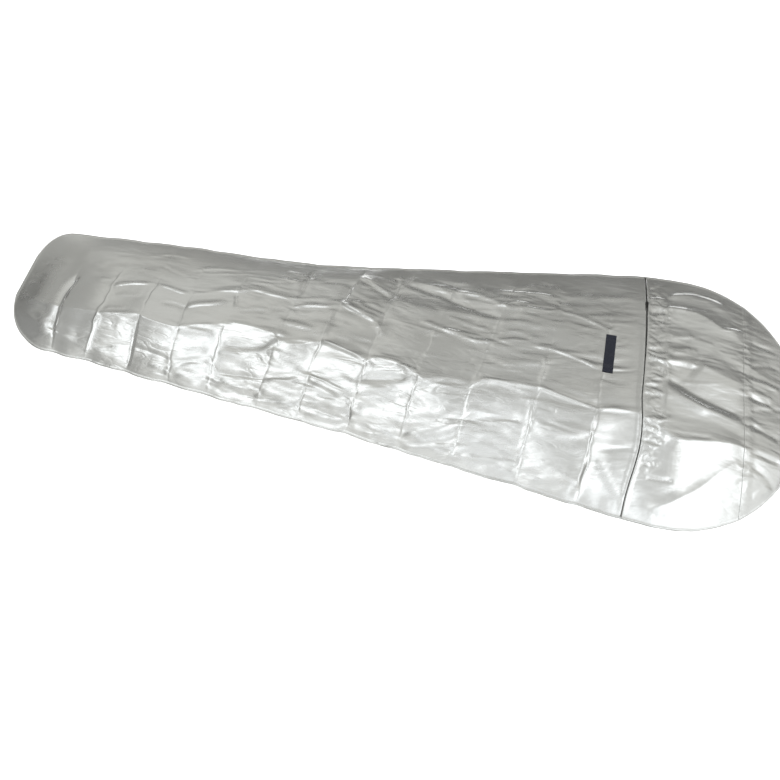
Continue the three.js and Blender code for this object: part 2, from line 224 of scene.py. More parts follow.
@dataclass(frozen=True)
class Outline:
    """Plan of the bag and its smooth roof, as in its solids."""

    toe: float = -1100.0
    head: float = 1100.0
    margin: float = 1.5
    flange: float = 5.0
    seam_top: float = 2.3
    zip_half: float = 2.4
    toe_fall: float = 275.0
    head_fall: float = 250.0
    dent_reach: float = 45.0
    rim_waves: tuple[Triple, ...] = ((0.8, 37.0, 0.4), (0.6, 17.0, 2.1), (0.4, 8.3, 1.0))
    bow_y: float = -210.0
    bow_reach: float = 160.0
    crest: tuple[tuple[float, float], ...] = ((700, -127), (730, -160), (756, -195), (828, -180), (936, -164))
    crest_blur: float = 40.0
    crest_most: float = 0.8
    stations: tuple[tuple[float, float, float, float], ...] = (
        (-985, 226, 213, 46), (-835, 236, 223, 52), (-635, 246, 246, 58), (-435, 249, 268, 60),
        (-235, 263, 289, 62), (-35, 295, 312, 66), (165, 328, 340, 68), (365, 363, 366, 72),
        (565, 398, 395, 74), (665, 411, 407, 74), (765, 412, 412, 72), (945, 412, 412, 62),
        (1100, 412, 412, 56),
    )
    far: Edge = Edge(Column.FAR, Corner(-985, 118, 3.3), 2.0, 0.5)
    near: Edge = Edge(Column.NEAR, Corner(-935, 168, 1.9), 3.0, 1.0)
    hood: Corner = Corner(765, 338, 2)
    far_slope: Slope = Slope(0.45, 3.2)
    near_slope: Slope = Slope(0.65, 3)

    def along(self, column: Column, x: Array) -> Array:
        """Smooth curve through one column of the stations.

        Args:
            column: The column.
            x: Places along the bag.

        Returns:
            The column's value at each place.
        """
        rows = np.array(self.stations)
        x = np.asarray(x, float)
        count = len(rows)
        low, high = np.maximum(np.arange(count) - 1, 0), np.minimum(np.arange(count) + 1, count - 1)
        slope = (rows[high, column] - rows[low, column]) / (rows[high, 0] - rows[low, 0])
        i = np.clip(np.searchsorted(rows[:, 0], x) - 1, 0, count - 2)
        span = rows[i + 1, 0] - rows[i, 0]
        t = np.clip((x - rows[i, 0]) / span, 0, 1)
        even = rows[i, column] + (rows[i + 1, column] - rows[i, column]) * t * t * (3 - 2 * t)
        return even + span * t * (1 - t) * ((1 - t) * slope[i] - t * slope[i + 1])

    def half_width(self, side: Side, x: Array) -> Array:
        """Half width of the floor film on one side.

        Args:
            side: The side of the bag.
            x: Places along the bag.

        Returns:
            The distance from the middle to the floor film's edge.
        """
        x = np.asarray(x, float)
        edge = self.far if side is Side.FAR else self.near
        width = self.along(edge.column, x)
        for strip in STRIPS[1:]:
            width = width - edge.dent * hump(x - strip.line.at(side), self.dent_reach)
        for size, wave, phase in self.rim_waves:
            width = width - edge.wave * size * (1 - np.sin(x / wave + phase))
        return width * edge.toe.keep(edge.toe.start - x) * self.hood.keep(x - self.hood.start)

    def film_edge(self, side: Side, x: Array) -> Array:
        """Half width of the top films on one side."""
        return self.half_width(side, x) - self.margin

    def crossing(self, line: CrossLine, y: Array) -> Array:
        """Follows a line across the bag.

        Args:
            line: The line.
            y: Places across the bag.

        Returns:
            x of the line at each place.
        """
        y = np.asarray(y, float)
        v = y / np.where(y >= 0, self.along(Column.FAR, line.mid), self.along(Column.NEAR, line.mid))
        curve = (line.far - line.near) / 2 * v + ((line.far + line.near) / 2 - line.mid) * v * v
        return line.mid + curve + line.bow * hump(y - self.bow_y, self.bow_reach)

    def beside(self, line: CrossLine, offset: float) -> LineX:
        """A line across the bag, moved along it.

        Args:
            line: The line.
            offset: How far it is moved towards the head.

        Returns:
            x of the moved line at each y.
        """

        def x_at(y: Array) -> Array:
            """x of the moved line."""
            return self.crossing(line, y) + offset

        return x_at

    def edge_on(self, x_at: LineX, side: Side) -> float:
        """Finds where a line across the bag meets the top films' edge.

        Args:
            x_at: x of the line at each y.
            side: The side of the bag.

        Returns:
            y of that place.
        """
        y = 0.0
        for _ in range(6):
            y = float(side.value * self.film_edge(side, x_at(y)))
        return y

    def crest_at(self, x: Array) -> Array:
        """Follows the hood's ridge, which is kept inside the near edge.

        Args:
            x: Places along the bag.

        Returns:
            y of the ridge at each place.
        """
        places, ys = np.array(self.crest, float).T
        steps = np.linspace(-self.crest_blur, self.crest_blur, 9)
        line = np.mean([np.interp(x + step, places, ys) for step in steps], axis=0)
        return np.maximum(line, -self.crest_most * (self.film_edge(Side.NEAR, x) - self.flange))

    def roof(self, x: Array, y: Array, ridge: Array | float | None = None) -> Array:
        """Height of the smooth roof over the side seam.

        Args:
            x: Places along the bag.
            y: Places across the bag.
            ridge: y of the ridge, or None for the crest of the hood.

        Returns:
            The height at each place.
        """
        top = self.crest_at(x) if ridge is None else ridge
        far = self.film_edge(Side.FAR, x) - self.flange - top
        near = -(self.film_edge(Side.NEAR, x) - self.flange) - top
        to_far = np.clip((y - top) / np.where(np.abs(far) < 1, 1, far), 0, 1)
        to_near = np.clip((y - top) / np.where(np.abs(near) < 1, 1, near), 0, 1)
        section = np.where(y >= top, self.far_slope.fall(to_far), self.near_slope.fall(to_near))
        toe = np.clip((x - self.toe - self.margin - self.flange) / self.toe_fall, 0, 1)
        head = np.clip((self.head - self.margin - self.flange - x) / self.head_fall, 0, 1)
        return self.along(Column.RIDGE, x) * section * (1 - (1 - toe) ** 2) * (1 - (1 - head) ** 2)


@dataclass(frozen=True)
class Crease:
    """A soft ridge, or a trough where its rise is negative, along points in plan.

    Its reach differs to the left and to the right of its run, so that one flank is a broad facet. Its ends
    fade over a share of its length, from a blunt start.
    """

    points: tuple[tuple[float, float], ...]
    rise: float
    left: float
    right: float
    power: float = 1.15
    fade: float = 0.22
    blunt: float = 0.05

    def run(self) -> Array:
        """Rounds off the crease's corners by cutting them twice, a quarter of the way in.

        Returns:
            The points of the rounded run.
        """
        line = np.array(self.points, float)
        for _ in range(2):
            cut = np.stack([line[:-1] * 0.75 + line[1:] * 0.25, line[:-1] * 0.25 + line[1:] * 0.75], 1)
            line = np.concatenate([line[:1], cut.reshape(-1, 2), line[-1:]])
        return line

    def lift(self, x: Array, y: Array) -> Array:
        """Height that the crease adds.

        Args:
            x: Places along the bag.
            y: Places across the bag.

        Returns:
            The added height at each place.
        """
        line = self.run()
        reach = max(self.left, self.right)
        low, high = line.min(0) - reach, line.max(0) + reach
        beside = (x > low[0]) & (x < high[0]) & (y > low[1]) & (y < high[1])
        added = np.zeros_like(x)
        if not beside.any():
            return added
        at = np.stack([x[beside], y[beside]], 1)
        steps = np.diff(line, axis=0)
        lengths = np.hypot(steps[:, 0], steps[:, 1])
        past = np.concatenate([[0], np.cumsum(lengths)])
        best, turn, share = np.full(len(at), np.inf), np.zeros(len(at)), np.zeros(len(at))
        for start, step, length, before in zip(line, steps, lengths, past):
            t = np.clip((at - start) @ step / max(length**2, 1e-9), 0, 1)
            off = at - start - t[:, None] * step
            distance = np.hypot(off[:, 0], off[:, 1])
            closer = distance < best
            best = np.where(closer, distance, best)
            turn = np.where(closer, step[0] * off[:, 1] - step[1] * off[:, 0], turn)
            share = np.where(closer, (before + t * length) / past[-1], share)
        ends = ease(0, self.fade, np.minimum(share, 1 - share) + self.blunt)
        added[beside] = self.rise * ends * tent(best, np.where(turn >= 0, self.left, self.right), self.power)
        return added


def warped(own: Array, other: Array, warp: tuple[float, float, float, float], phase: float) -> Array:
    """Moves places along one axis by waves that run along the other."""
    size, wave, bend, slow = warp
    return own + size * np.sin(wave * other + bend * np.sin(slow * own + phase))


@dataclass(frozen=True)
class Crumple:
    """Uneven crumple of thin film: flat facets between seeded heights on a warped net.

    The warp along each axis has a size, a wave, a bend of that wave and the bend's own wave.
    """

    seed: int
    cell_x: float
    cell_y: float
    height: float
    net_size: int = 128
    warp_u: tuple[float, float, float, float] = (0.45, 1.31, 1.9, 0.83)
    warp_v: tuple[float, float, float, float] = (0.55, 1.17, 1.7, 0.61)
    split_knot: tuple[int, int] = (57, 31)

    def lift(self, x: Array, y: Array) -> Array:
        """Height that the crumple adds.

        Args:
            x: Places along the bag.
            y: Places across the bag.

        Returns:
            The added height at each place.
        """
        net = np.random.default_rng(self.seed).uniform(-1, 1, (self.net_size, self.net_size))
        u, v = x / self.cell_x, y / self.cell_y
        u, v = warped(u, v, self.warp_u, self.seed), warped(v, u, self.warp_v, 2 * self.seed)
        i, j = np.floor(u).astype(int), np.floor(v).astype(int)
        fu, fv = u - i, v - j

        def knot(step_i: int, step_j: int) -> Array:
            """Seeded height some steps on from each place's cell."""
            return net[(i + step_i) % self.net_size, (j + step_j) % self.net_size]

        a, b, c, d = knot(0, 0), knot(1, 0), knot(0, 1), knot(1, 1)
        first = np.where(fu > fv, a + fu * (b - a) + fv * (d - b), a + fv * (c - a) + fu * (d - c))
        second = np.where(
            fu + fv < 1,
            a + fu * (b - a) + fv * (c - a),
            d + (1 - fu) * (c - d) + (1 - fv) * (b - d),
        )
        # A knot elsewhere on the net says which way the cell is split into facets.
        return self.height * np.where(knot(*self.split_knot) > 0, first, second)


@dataclass(frozen=True)
class Wrinkles:
    """Seeded short wrinkles that run roughly along the bag, over a stretch of one side of it.

    Each has a sharp flank and a broad one, and the share of ridges among them is set.
    """

    seed: int
    count: int
    side: Side
    start: float
    end: float
    inner: float
    outer: float
    length: tuple[float, float]
    rise: tuple[float, float]
    spread: float = 0.13
    broad: tuple[float, float] = (9, 22)
    sharp: tuple[float, float] = (4, 7)
    lean: float = 0.1
    bow: float = 0.06
    ridges: float = 0.62

    def creases(self, outline: Outline) -> list[Crease]:
        """Scatters the wrinkles over the plan.

        Args:
            outline: Plan of the bag.

        Returns:
            The wrinkles.
        """
        dice = np.random.default_rng(self.seed)
        found = []
        for _ in range(self.count):
            x, share = dice.uniform(self.start, self.end), dice.uniform(self.inner, self.outer)
            y = self.side.value * share * float(outline.film_edge(self.side, x))
            length = dice.uniform(*self.length)
            angle = self.side.value * self.lean * share + dice.normal(0, self.spread)
            bend = dice.uniform(-self.bow, self.bow) * length
            run = np.array([math.cos(angle), math.sin(angle)]) * length / 2
            points = ((x - run[0], y - run[1]), (x, y + bend), (x + run[0], y + run[1]))
            sharp, broad = dice.uniform(*self.sharp), dice.uniform(*self.broad)
            reach = (sharp, broad) if dice.uniform() < 0.5 else (broad, sharp)
            rise = dice.uniform(*self.rise) * (1 if dice.uniform() < self.ridges else -1)
            found.append(Crease(points, rise, *reach))
        return found


def lifted(layers: Iterable[Crease | Crumple], x: Array, y: Array) -> Array:
    """Sum of the heights that some creases or crumples add at each place."""
    return sum(layer.lift(x, y) for layer in layers)


BODY_CREASES = (
    Crease(((-930, 42), (-944, -20), (-941, -79), (-938, -126), (-928, -173)), -5.5, 6, 24),
    Crease(((-817, 17), (-767, 36), (-716, 43)), 2, 14, 6),
    Crease(((-789, -14), (-762, -9), (-727, -6)), 1.4, 12, 6),
    Crease(((-806, -70), (-781, -65), (-752, -63)), 1.4, 10, 6),
    Crease(((-821, -94), (-759, -93), (-706, -77)), 2.2, 22, 7),
    Crease(((-702, -97), (-696, -166), (-694, -236)), -3.4, 6, 46),
    Crease(((-820, -186), (-785, -180), (-749, -173)), -1.8, 8, 12),
    Crease(((-687, -168), (-641, -173), (-580, -189)), -1.8, 6, 22),
    Crease(((-687, 46), (-638, 35), (-603, 26)), 1.6, 14, 6),
    Crease(((-661, -24), (-622, -19), (-584, -27)), -2.2, 16, 8),
    Crease(((-586, -20), (-551, -4), (-513, 4), (-479, 24)), 3.6, 18, 8),
    Crease(((-763, 165), (-707, 192), (-649, 185)), 1.5, 14, 8),
    Crease(((-611, 132), (-564, 154), (-500, 161)), 1.6, 16, 8),
    Crease(((-1026, 131), (-1022, 34), (-1016, -80)), 5, 50, 60),
    Crease(((-1081, -2), (-1067, 18), (-1035, 5)), -4.5, 9, 12),
    Crease(((-1092, 44), (-1063, 37), (-1036, 38)), -4.5, 8, 12),
    Crease(((-1058, 78), (-1035, 92), (-1006, 85)), -3.5, 9, 14),
    Crease(((-995, -97), (-968, -134), (-960, -174)), 2, 12, 10),
    Crease(((-585, -110), (-543, -99), (-485, -100)), 2.5, 16, 10),
    Crease(((-564, -197), (-525, -181), (-475, -178)), -2, 12, 12),
    Crease(((-543, -157), (-518, -147), (-487, -153)), 1.6, 10, 10),
    Crease(((-463, -52), (-397, -53), (-331, -65), (-269, -66)), 3.2, 26, 8),
    Crease(((-453, -115), (-387, -118), (-330, -108)), -4, 14, 14),
    Crease(((-330, -108), (-296, -88), (-245, -71), (-189, -71)), 2.4, 14, 10),
    Crease(((-302, -110), (-266, -117), (-232, -120)), -1.6, 8, 8),
    Crease(((-285, -131), (-255, -138), (-227, -139)), -1.4, 8, 8),
    Crease(((-462, -142), (-404, -150), (-337, -167)), 2.2, 14, 12),
    Crease(((-452, -201), (-385, -197), (-324, -198), (-218, -175)), -3, 12, 16),
    Crease(((-301, -198), (-257, -197), (-221, -186)), 1.5, 8, 8),
    Crease(((-440, -248), (-379, -245), (-317, -248)), -4, 14, 14),
    Crease(((-331, -258), (-266, -253), (-207, -244)), 1.8, 9, 9),
    Crease(((-315, -276), (-261, -271), (-205, -253)), -2, 9, 9),
    Crease(((-321, -294), (-264, -301), (-212, -293)), 1.6, 9, 9),
    Crease(((-815, -88), (-818, -150), (-822, -205)), 3.0, 7, 44),
    Crease(((-541, 52), (-459, 72), (-412, 88), (-372, 76), (-309, 77)), 3.4, 22, 8),
    Crease(((-314, 76), (-275, 81), (-238, 95)), 2, 10, 7),
    Crease(((-466, 57), (-456, 25), (-446, 3)), -1.6, 8, 8),
    Crease(((-440, -8), (-376, 11), (-302, 33)), -1.6, 12, 12),
    Crease(((-300, 44), (-247, 62), (-185, 68)), 3.2, 16, 7),
    Crease(((-319, -8), (-265, 1), (-213, -22)), -2, 12, 10),
    Crease(((-270, -20), (-229, -26), (-200, -50)), 1.6, 8, 7),
    Crease(((-284, 160), (-240, 172), (-205, 186)), 0.8, 14, 7),
    Crease(((-284, 216), (-286, 180), (-289, 91)), -2.4, 10, 8),
    Crease(((-154, 190), (-161, 121), (-174, 92)), -4, 8, 22),
    Crease(((-187, 63), (-185, -9), (-188, -63)), 1.8, 14, 14),
    Crease(((-170, 89), (-109, 60), (-55, 35)), 5, 44, 10),
    Crease(((-58, 35), (-42, 15), (-30, -13)), 2.5, 14, 12),
    Crease(((-150, 220), (-92, 186), (-33, 147)), 4, 45, 7),
    Crease(((-135, 195), (-76, 164), (-34, 132)), -0.8, 10, 10),
    Crease(((-136, 258), (-139, 244), (-142, 215)), -2, 8, 8),
    Crease(((-141, 99), (-103, 108), (-66, 99)), 1.4, 7, 7),
    Crease(((-97, 83), (-67, 77), (-41, 63)), 1.2, 7, 7),
    Crease(((-191, -64), (-143, -76), (-102, -86), (-60, -103)), 4.2, 30, 9),
    Crease(((-60, -103), (-46, -115), (-33, -125)), 2, 14, 8),
    Crease(((-40, -94), (19, -88), (78, -122)), 4, 20, 14),
    Crease(((-59, -155), (5, -148), (66, -133)), -5, 16, 18),
    Crease(((-210, -165), (-148, -183), (-103, -198), (-63, -208)), 2.4, 9, 8),
    Crease(((-201, -177), (-141, -198), (-94, -212), (-65, -224)), 2, 9, 8),
    Crease(((-74, -209), (-67, -239), (-63, -268)), -1.4, 5, 7),
    Crease(((-59, -202), (-9, -184), (47, -169)), 2.5, 12, 10),
    Crease(((-158, -222), (-115, -216), (-72, -214)), -2.2, 9, 9),
    Crease(((-185, -246), (-138, -260), (-87, -267)), -2.6, 9, 12),
    Crease(((-189, -294), (-132, -286), (-77, -287)), -4, 14, 12),
    Crease(((-46, -237), (8, -214), (53, -196)), -2, 16, 20),
    Crease(((-48, -296), (5, -294), (60, -305)), 1.8, 9, 9),
    Crease(((-44, 250), (-28, 195), (-37, 132)), -3.4, 10, 16),
    Crease(((6, 214), (125, 172), (215, 142), (281, 128)), -4, 30, 15),
    Crease(((133, 206), (188, 215), (264, 185), (309, 168)), 3, 18, 9),
    Crease(((60, 70), (132, 48), (175, 43), (219, 25), (285, 38)), 3, 16, 8),
    Crease(((127, 105), (197, 84), (253, 76)), 2.4, 12, 8),
    Crease(((81, -151), (160, -119), (229, -119)), 3.5, 30, 12),
    Crease(((229, -119), (305, -97), (401, -101)), 3, 28, 12),
    Crease(((401, -101), (465, -117), (566, -137)), 2.6, 24, 7),
    Crease(((566, -137), (621, -129), (683, -130)), 3, 18, 8),
    Crease(((367, 40), (426, 38), (493, 20), (570, -10)), 2.2, 22, 7),
    Crease(((570, -10), (616, 1), (668, 16)), -1.8, 10, 8),
    Crease(((438, 184), (488, 183), (579, 139)), 2.3, 18, 7),
    Crease(((298, 183), (377, 183), (438, 188)), 1.4, 10, 8),
    Crease(((275, 111), (334, 125), (400, 105)), 2.6, 12, 6),
    Crease(((280, 72), (333, 88), (386, 61)), 2.6, 11, 6),
    Crease(((308, 290), (338, 276), (385, 328)), 1.6, 8, 8),
    Crease(((572, -141), (565, -209), (564, -272), (547, -352)), 2.2, 46, 9),
    Crease(((411, 9), (419, -40), (409, -85)), 2, 8, 10),
    Crease(((393, -121), (399, -193), (394, -252), (383, -309)), 1.1, 5, 8),
    Crease(((232, -135), (226, -186), (229, -228)), 0.8, 6, 8),
    Crease(((571, -248), (624, -236), (686, -224)), -2.2, 8, 14),
    Crease(((585, -274), (622, -328), (661, -367)), 3.2, 10, 8),
    Crease(((566, -282), (553, -328), (549, -361)), 1.6, 12, 8),
    Crease(((618, -362), (618, -390), (625, -411)), 2, 9, 9),
    Crease(((70, -251), (172, -233), (248, -220), (374, -197)), -2.2, 12, 12),
    Crease(((88, -288), (153, -269), (215, -241)), 3, 10, 12),
    Crease(((93, -309), (158, -295), (222, -275)), -3, 10, 10),
    Crease(((84, -318), (161, -308), (251, -291)), 2, 10, 10),
    Crease(((190, -322), (292, -314), (394, -312)), 1.8, 10, 10),
    Crease(((256, -260), (330, -242), (381, -239)), 1.4, 10, 10),
    Crease(((219, -309), (206, -324), (199, -343)), 1.6, 8, 8),
    Crease(((430, -226), (481, -223), (541, -218)), 1.2, 12, 12),
    Crease(((460, -356), (460, -371), (460, -389)), 2, 8, 8),
    Crease(((542, -353), (541, -372), (538, -389)), 2.2, 8, 10),
    Crease(((285, 38), (337, 58), (372, 44)), 2.4, 11, 6),
    Crease(((196, -2), (239, -13), (263, 2)), 2.2, 10, 6),
    Crease(((268, -29), (318, -39), (349, -64)), 2.2, 10, 6),
    Crease(((256, 236), (354, 252), (430, 248)), 2, 12, 7),
)
HOOD_CREASES = (
    Crease(((716, 271), (787, 279), (829, 265), (865, 238), (893, 228), (940, 244)), 5.5, 48, 84, 2.0),
    Crease(((722, 322), (760, 346), (800, 356), (840, 350), (890, 330)), 4, 18, 56, 1.6),
    Crease(((724, 276), (748, 279), (780, 280)), 2, 12, 16),
    Crease(((726, 236), (735, 237), (746, 236)), 1.5, 10, 10),
    Crease(((738, 158), (770, 166), (800, 178)), 1.6, 26, 12),
    Crease(((788, 172), (823, 169), (860, 160)), 1.6, 14, 30),
    Crease(((728, 112), (760, 118), (795, 130)), 1.8, 12, 26),
    Crease(((740, 102), (780, 112), (816, 122)), 1.8, 30, 14),
    Crease(((712, 58), (767, 78), (816, 70)), 4, 36, 18),
    Crease(((815, 82), (865, 55), (945, 36)), 4.5, 60, 80, 1.4),
    Crease(((728, 8), (775, -4), (824, -32), (876, -50), (945, -66)), -6, 78, 34, 1.4),
    Crease(((730, -12), (770, -30), (810, -57), (849, -73), (889, -81), (950, -87)), 2.2, 26, 70, 2.0),
    Crease(((738, -34), (798, -57), (850, -84)), 2.2, 20, 24),
    Crease(((742, -186), (791, -190), (828, -180), (879, -169), (940, -163)), 3.5, 50, 50, 2.0),
    Crease(((716, -374), (762, -356), (797, -335), (842, -301), (887, -249), (934, -200)), 3.2, 30, 60, 2.0),
    Crease(((809, -283), (850, -280), (893, -290)), -0.8, 24, 20),
    Crease(((706, -296), (740, -299), (772, -296)), -2.0, 8, 10),
    Crease(((731, -384), (769, -392), (815, -394)), -1.2, 8, 10),
    Crease(((757, -168), (797, -168), (860, -164)), -1.6, 10, 14),
    Crease(((726, 314), (731, 147), (738, 0), (742, -134), (744, -200)), 1.2, 12, 12),
)
HOOD_END_CREASES = (
    Crease(((956, 208), (990, 204), (1036, 197)), -2.2, 14, 14),
    Crease(((952, 114), (995, 137), (1041, 143)), -2.2, 14, 14),
    Crease(((952, 63), (994, 67), (1039, 60)), 2, 14, 12),
    Crease(((952, 11), (983, 0), (1016, 8)), -2.6, 14, 14),
    Crease(((955, -39), (994, -22), (1039, -5)), -2.4, 12, 20),
    Crease(((956, -85), (994, -95), (1039, -103)), -2.8, 16, 16),
    Crease(((959, -173), (997, -170), (1041, -172)), -2.4, 14, 14),
    Crease(((962, -205), (1006, -221), (1045, -250)), -2.6, 16, 16),
    Crease(((975, -288), (995, -271), (1025, -244)), 2.2, 14, 16),
    Crease(((963, -332), (987, -298), (1016, -274)), -3, 12, 14),
)


class Socket:
    """An output socket whose operators add Math nodes."""

    def __init__(self, nodes: "Nodes", link: bpy.types.NodeSocket) -> None:
        """Keeps the tree and the socket."""
        self.nodes = nodes
        self.link = link

    def _math(self, operation: str, first: "Socket | float", second: "Socket | float") -> "Socket":
        """Adds one Math node."""
        return self.nodes.make("ShaderNodeMath", {"operation": operation}, {0: first, 1: second})

    def __add__(self, other: "Socket | float") -> "Socket":
        """Sum."""
        return self._math("ADD", self, other)

    def __radd__(self, other: float) -> "Socket":
        """Sum with a number first."""
        return self._math("ADD", other, self)

    def __sub__(self, other: "Socket | float") -> "Socket":
        """Difference."""
        return self._math("SUBTRACT", self, other)

    def __rsub__(self, other: float) -> "Socket":
        """Difference from a number."""
        return self._math("SUBTRACT", other, self)

    def __mul__(self, other: "Socket | float") -> "Socket":
        """Product."""
        return self._math("MULTIPLY", self, other)

    def __rmul__(self, other: float) -> "Socket":
        """Product with a number first."""
        return self._math("MULTIPLY", other, self)

    def __truediv__(self, other: "Socket | float") -> "Socket":
        """Quotient."""
        return self._math("DIVIDE", self, other)

    def __rtruediv__(self, other: float) -> "Socket":
        """Quotient of a number."""
        return self._math("DIVIDE", other, self)

    def size(self) -> "Socket":
        """The value without its sign."""
        return self._math("ABSOLUTE", self, 0.0)

    def at_most(self, limit: "Socket | float") -> "Socket":
        """The smaller of two values."""
        return self._math("MINIMUM", self, limit)

    def angle_from(self, other: "Socket") -> "Socket":
        """Angle of a direction with this rise and the other run."""
        return self._math("ARCTAN2", self, other)

    def clear_of(self, limit: float, width: float) -> "Socket":
        """0 at a limit, 1 from a width past it on."""
        sockets = {0: self, 1: limit, 2: limit + width}
        return self.nodes.make("ShaderNodeMapRange", {"interpolation_type": "SMOOTHSTEP"}, sockets)


class Nodes:
    """A node tree, and the one way in which nodes are added to it."""

    def __init__(self, tree: bpy.types.NodeTree) -> None:
        """Keeps the tree and clears it."""
        self.tree = tree
        tree.nodes.clear()

    def make(
        self,
        kind: str,
        settings: dict[str, Any] | None = None,
        inputs: dict[str | int, Any] | None = None,
        output: str | int = 0,
    ) -> Socket:
        """Adds a node.

        Args:
            kind: The node's type.
            settings: Its settings, which are set first.
            inputs: Values or links of its sockets, by name or number.
            output: The output that is handed back.

        Returns:
            That output socket.
        """
        node = self.tree.nodes.new(kind)
        for name, value in (settings or {}).items():
            setattr(node, name, value)
        for name, value in (inputs or {}).items():
            socket = node.inputs[name]
            if isinstance(value, Socket):
                self.tree.links.new(value.link, socket)
            elif socket.type == "RGBA":
                socket.default_value = (*value, 1)
            else:
                socket.default_value = value
        return Socket(self, node.outputs[output] if node.outputs else None)

    def blend(self, share: Socket | float, first: Any, second: Any) -> Socket:
        """Mixes two colours by a share."""
        return self.make("ShaderNodeMix", {"data_type": "RGBA"}, {0: share, 6: first, 7: second}, 2)

    def axes(self, vector: Socket, names: str) -> list[Socket]:
        """Some of a vector's axes, by their letters."""
        return [self.make("ShaderNodeSeparateXYZ", inputs={0: vector}, output=name) for name in names]

    def place(self, scale: Triple = (1.0, 1.0, 1.0), turn: float = 0.0) -> Socket:
        """Object coordinates, stretched and turned about Z.

        Args:
            scale: Stretch along each axis.
            turn: Turn in radians.

        Returns:
            The coordinates.
        """
        spot = self.make("ShaderNodeTexCoord", output="Object")
        sockets = {"Vector": spot, "Scale": scale, "Rotation": (0, 0, turn)}
        return self.make("ShaderNodeMapping", inputs=sockets)

    def cloud(self, spot: Socket, scale: float, detail: float = 3.0, bend: float = 0.0) -> Socket:
        """Noise of a scale per metre, with its contours bent."""
        sockets = {"Vector": spot, "Scale": scale, "Detail": detail, "Distortion": bend}
        return self.make("ShaderNodeTexNoise", inputs=sockets)

    def creased(self, spot: Socket, scale: float, bend: float) -> Socket:
        """Sharp valleys along the middle contours of a noise of a scale per metre."""
        return (self.cloud(spot, scale, 1.0, bend) - 0.5).size()

    def cracks(self, spot: Socket, scale: float) -> Socket:
        """Distance from the borders of uneven cells, of a scale per metre."""
        sockets = {"Vector": spot, "Scale": scale, "Randomness": 1.0}
        return self.make("ShaderNodeTexVoronoi", {"feature": "DISTANCE_TO_EDGE"}, sockets, "Distance")


@dataclass(frozen=True)
class Profile:
    """A shader value that changes in soft steps: its base, and the start, width and gain of each step."""

    base: float
    steps: tuple[Triple, ...]

    def at(self, value: Socket) -> Socket:
        """Follows the profile.

        Args:
            value: Where on the profile.

        Returns:
            The profile's value there.
        """
        total = self.base
        for start, width, gain in self.steps:
            total = total + value.clear_of(start, width) * gain
        return total


class Shader(Nodes):
    """A material with one Principled shader."""

    def __init__(self, name: str) -> None:
        """Makes the material and empties its tree.

        Args:
            name: Name of the material.
        """
        self.material = bpy.data.materials.new(name)
        self.material.use_nodes = True
        super().__init__(self.material.node_tree)

    def finish(self, height: Socket, relief: float, **values: Any) -> bpy.types.Material:
        """Adds the bump and the shader, and ends the material.

        Args:
            height: Height of the fine relief.
            relief: The relief's depth in metres.
            **values: The shader's sockets, with _ for a space.

        Returns:
            The material.
        """
        bump = self.make("ShaderNodeBump", inputs={"Height": height, "Distance": relief, "Strength": 1.0})
        sockets = {name.replace("_", " "): value for name, value in values.items()}
        surface = self.make("ShaderNodeBsdfPrincipled", inputs={**sockets, "Normal": bump})
        self.make("ShaderNodeOutputMaterial", inputs={"Surface": surface})
        return self.material


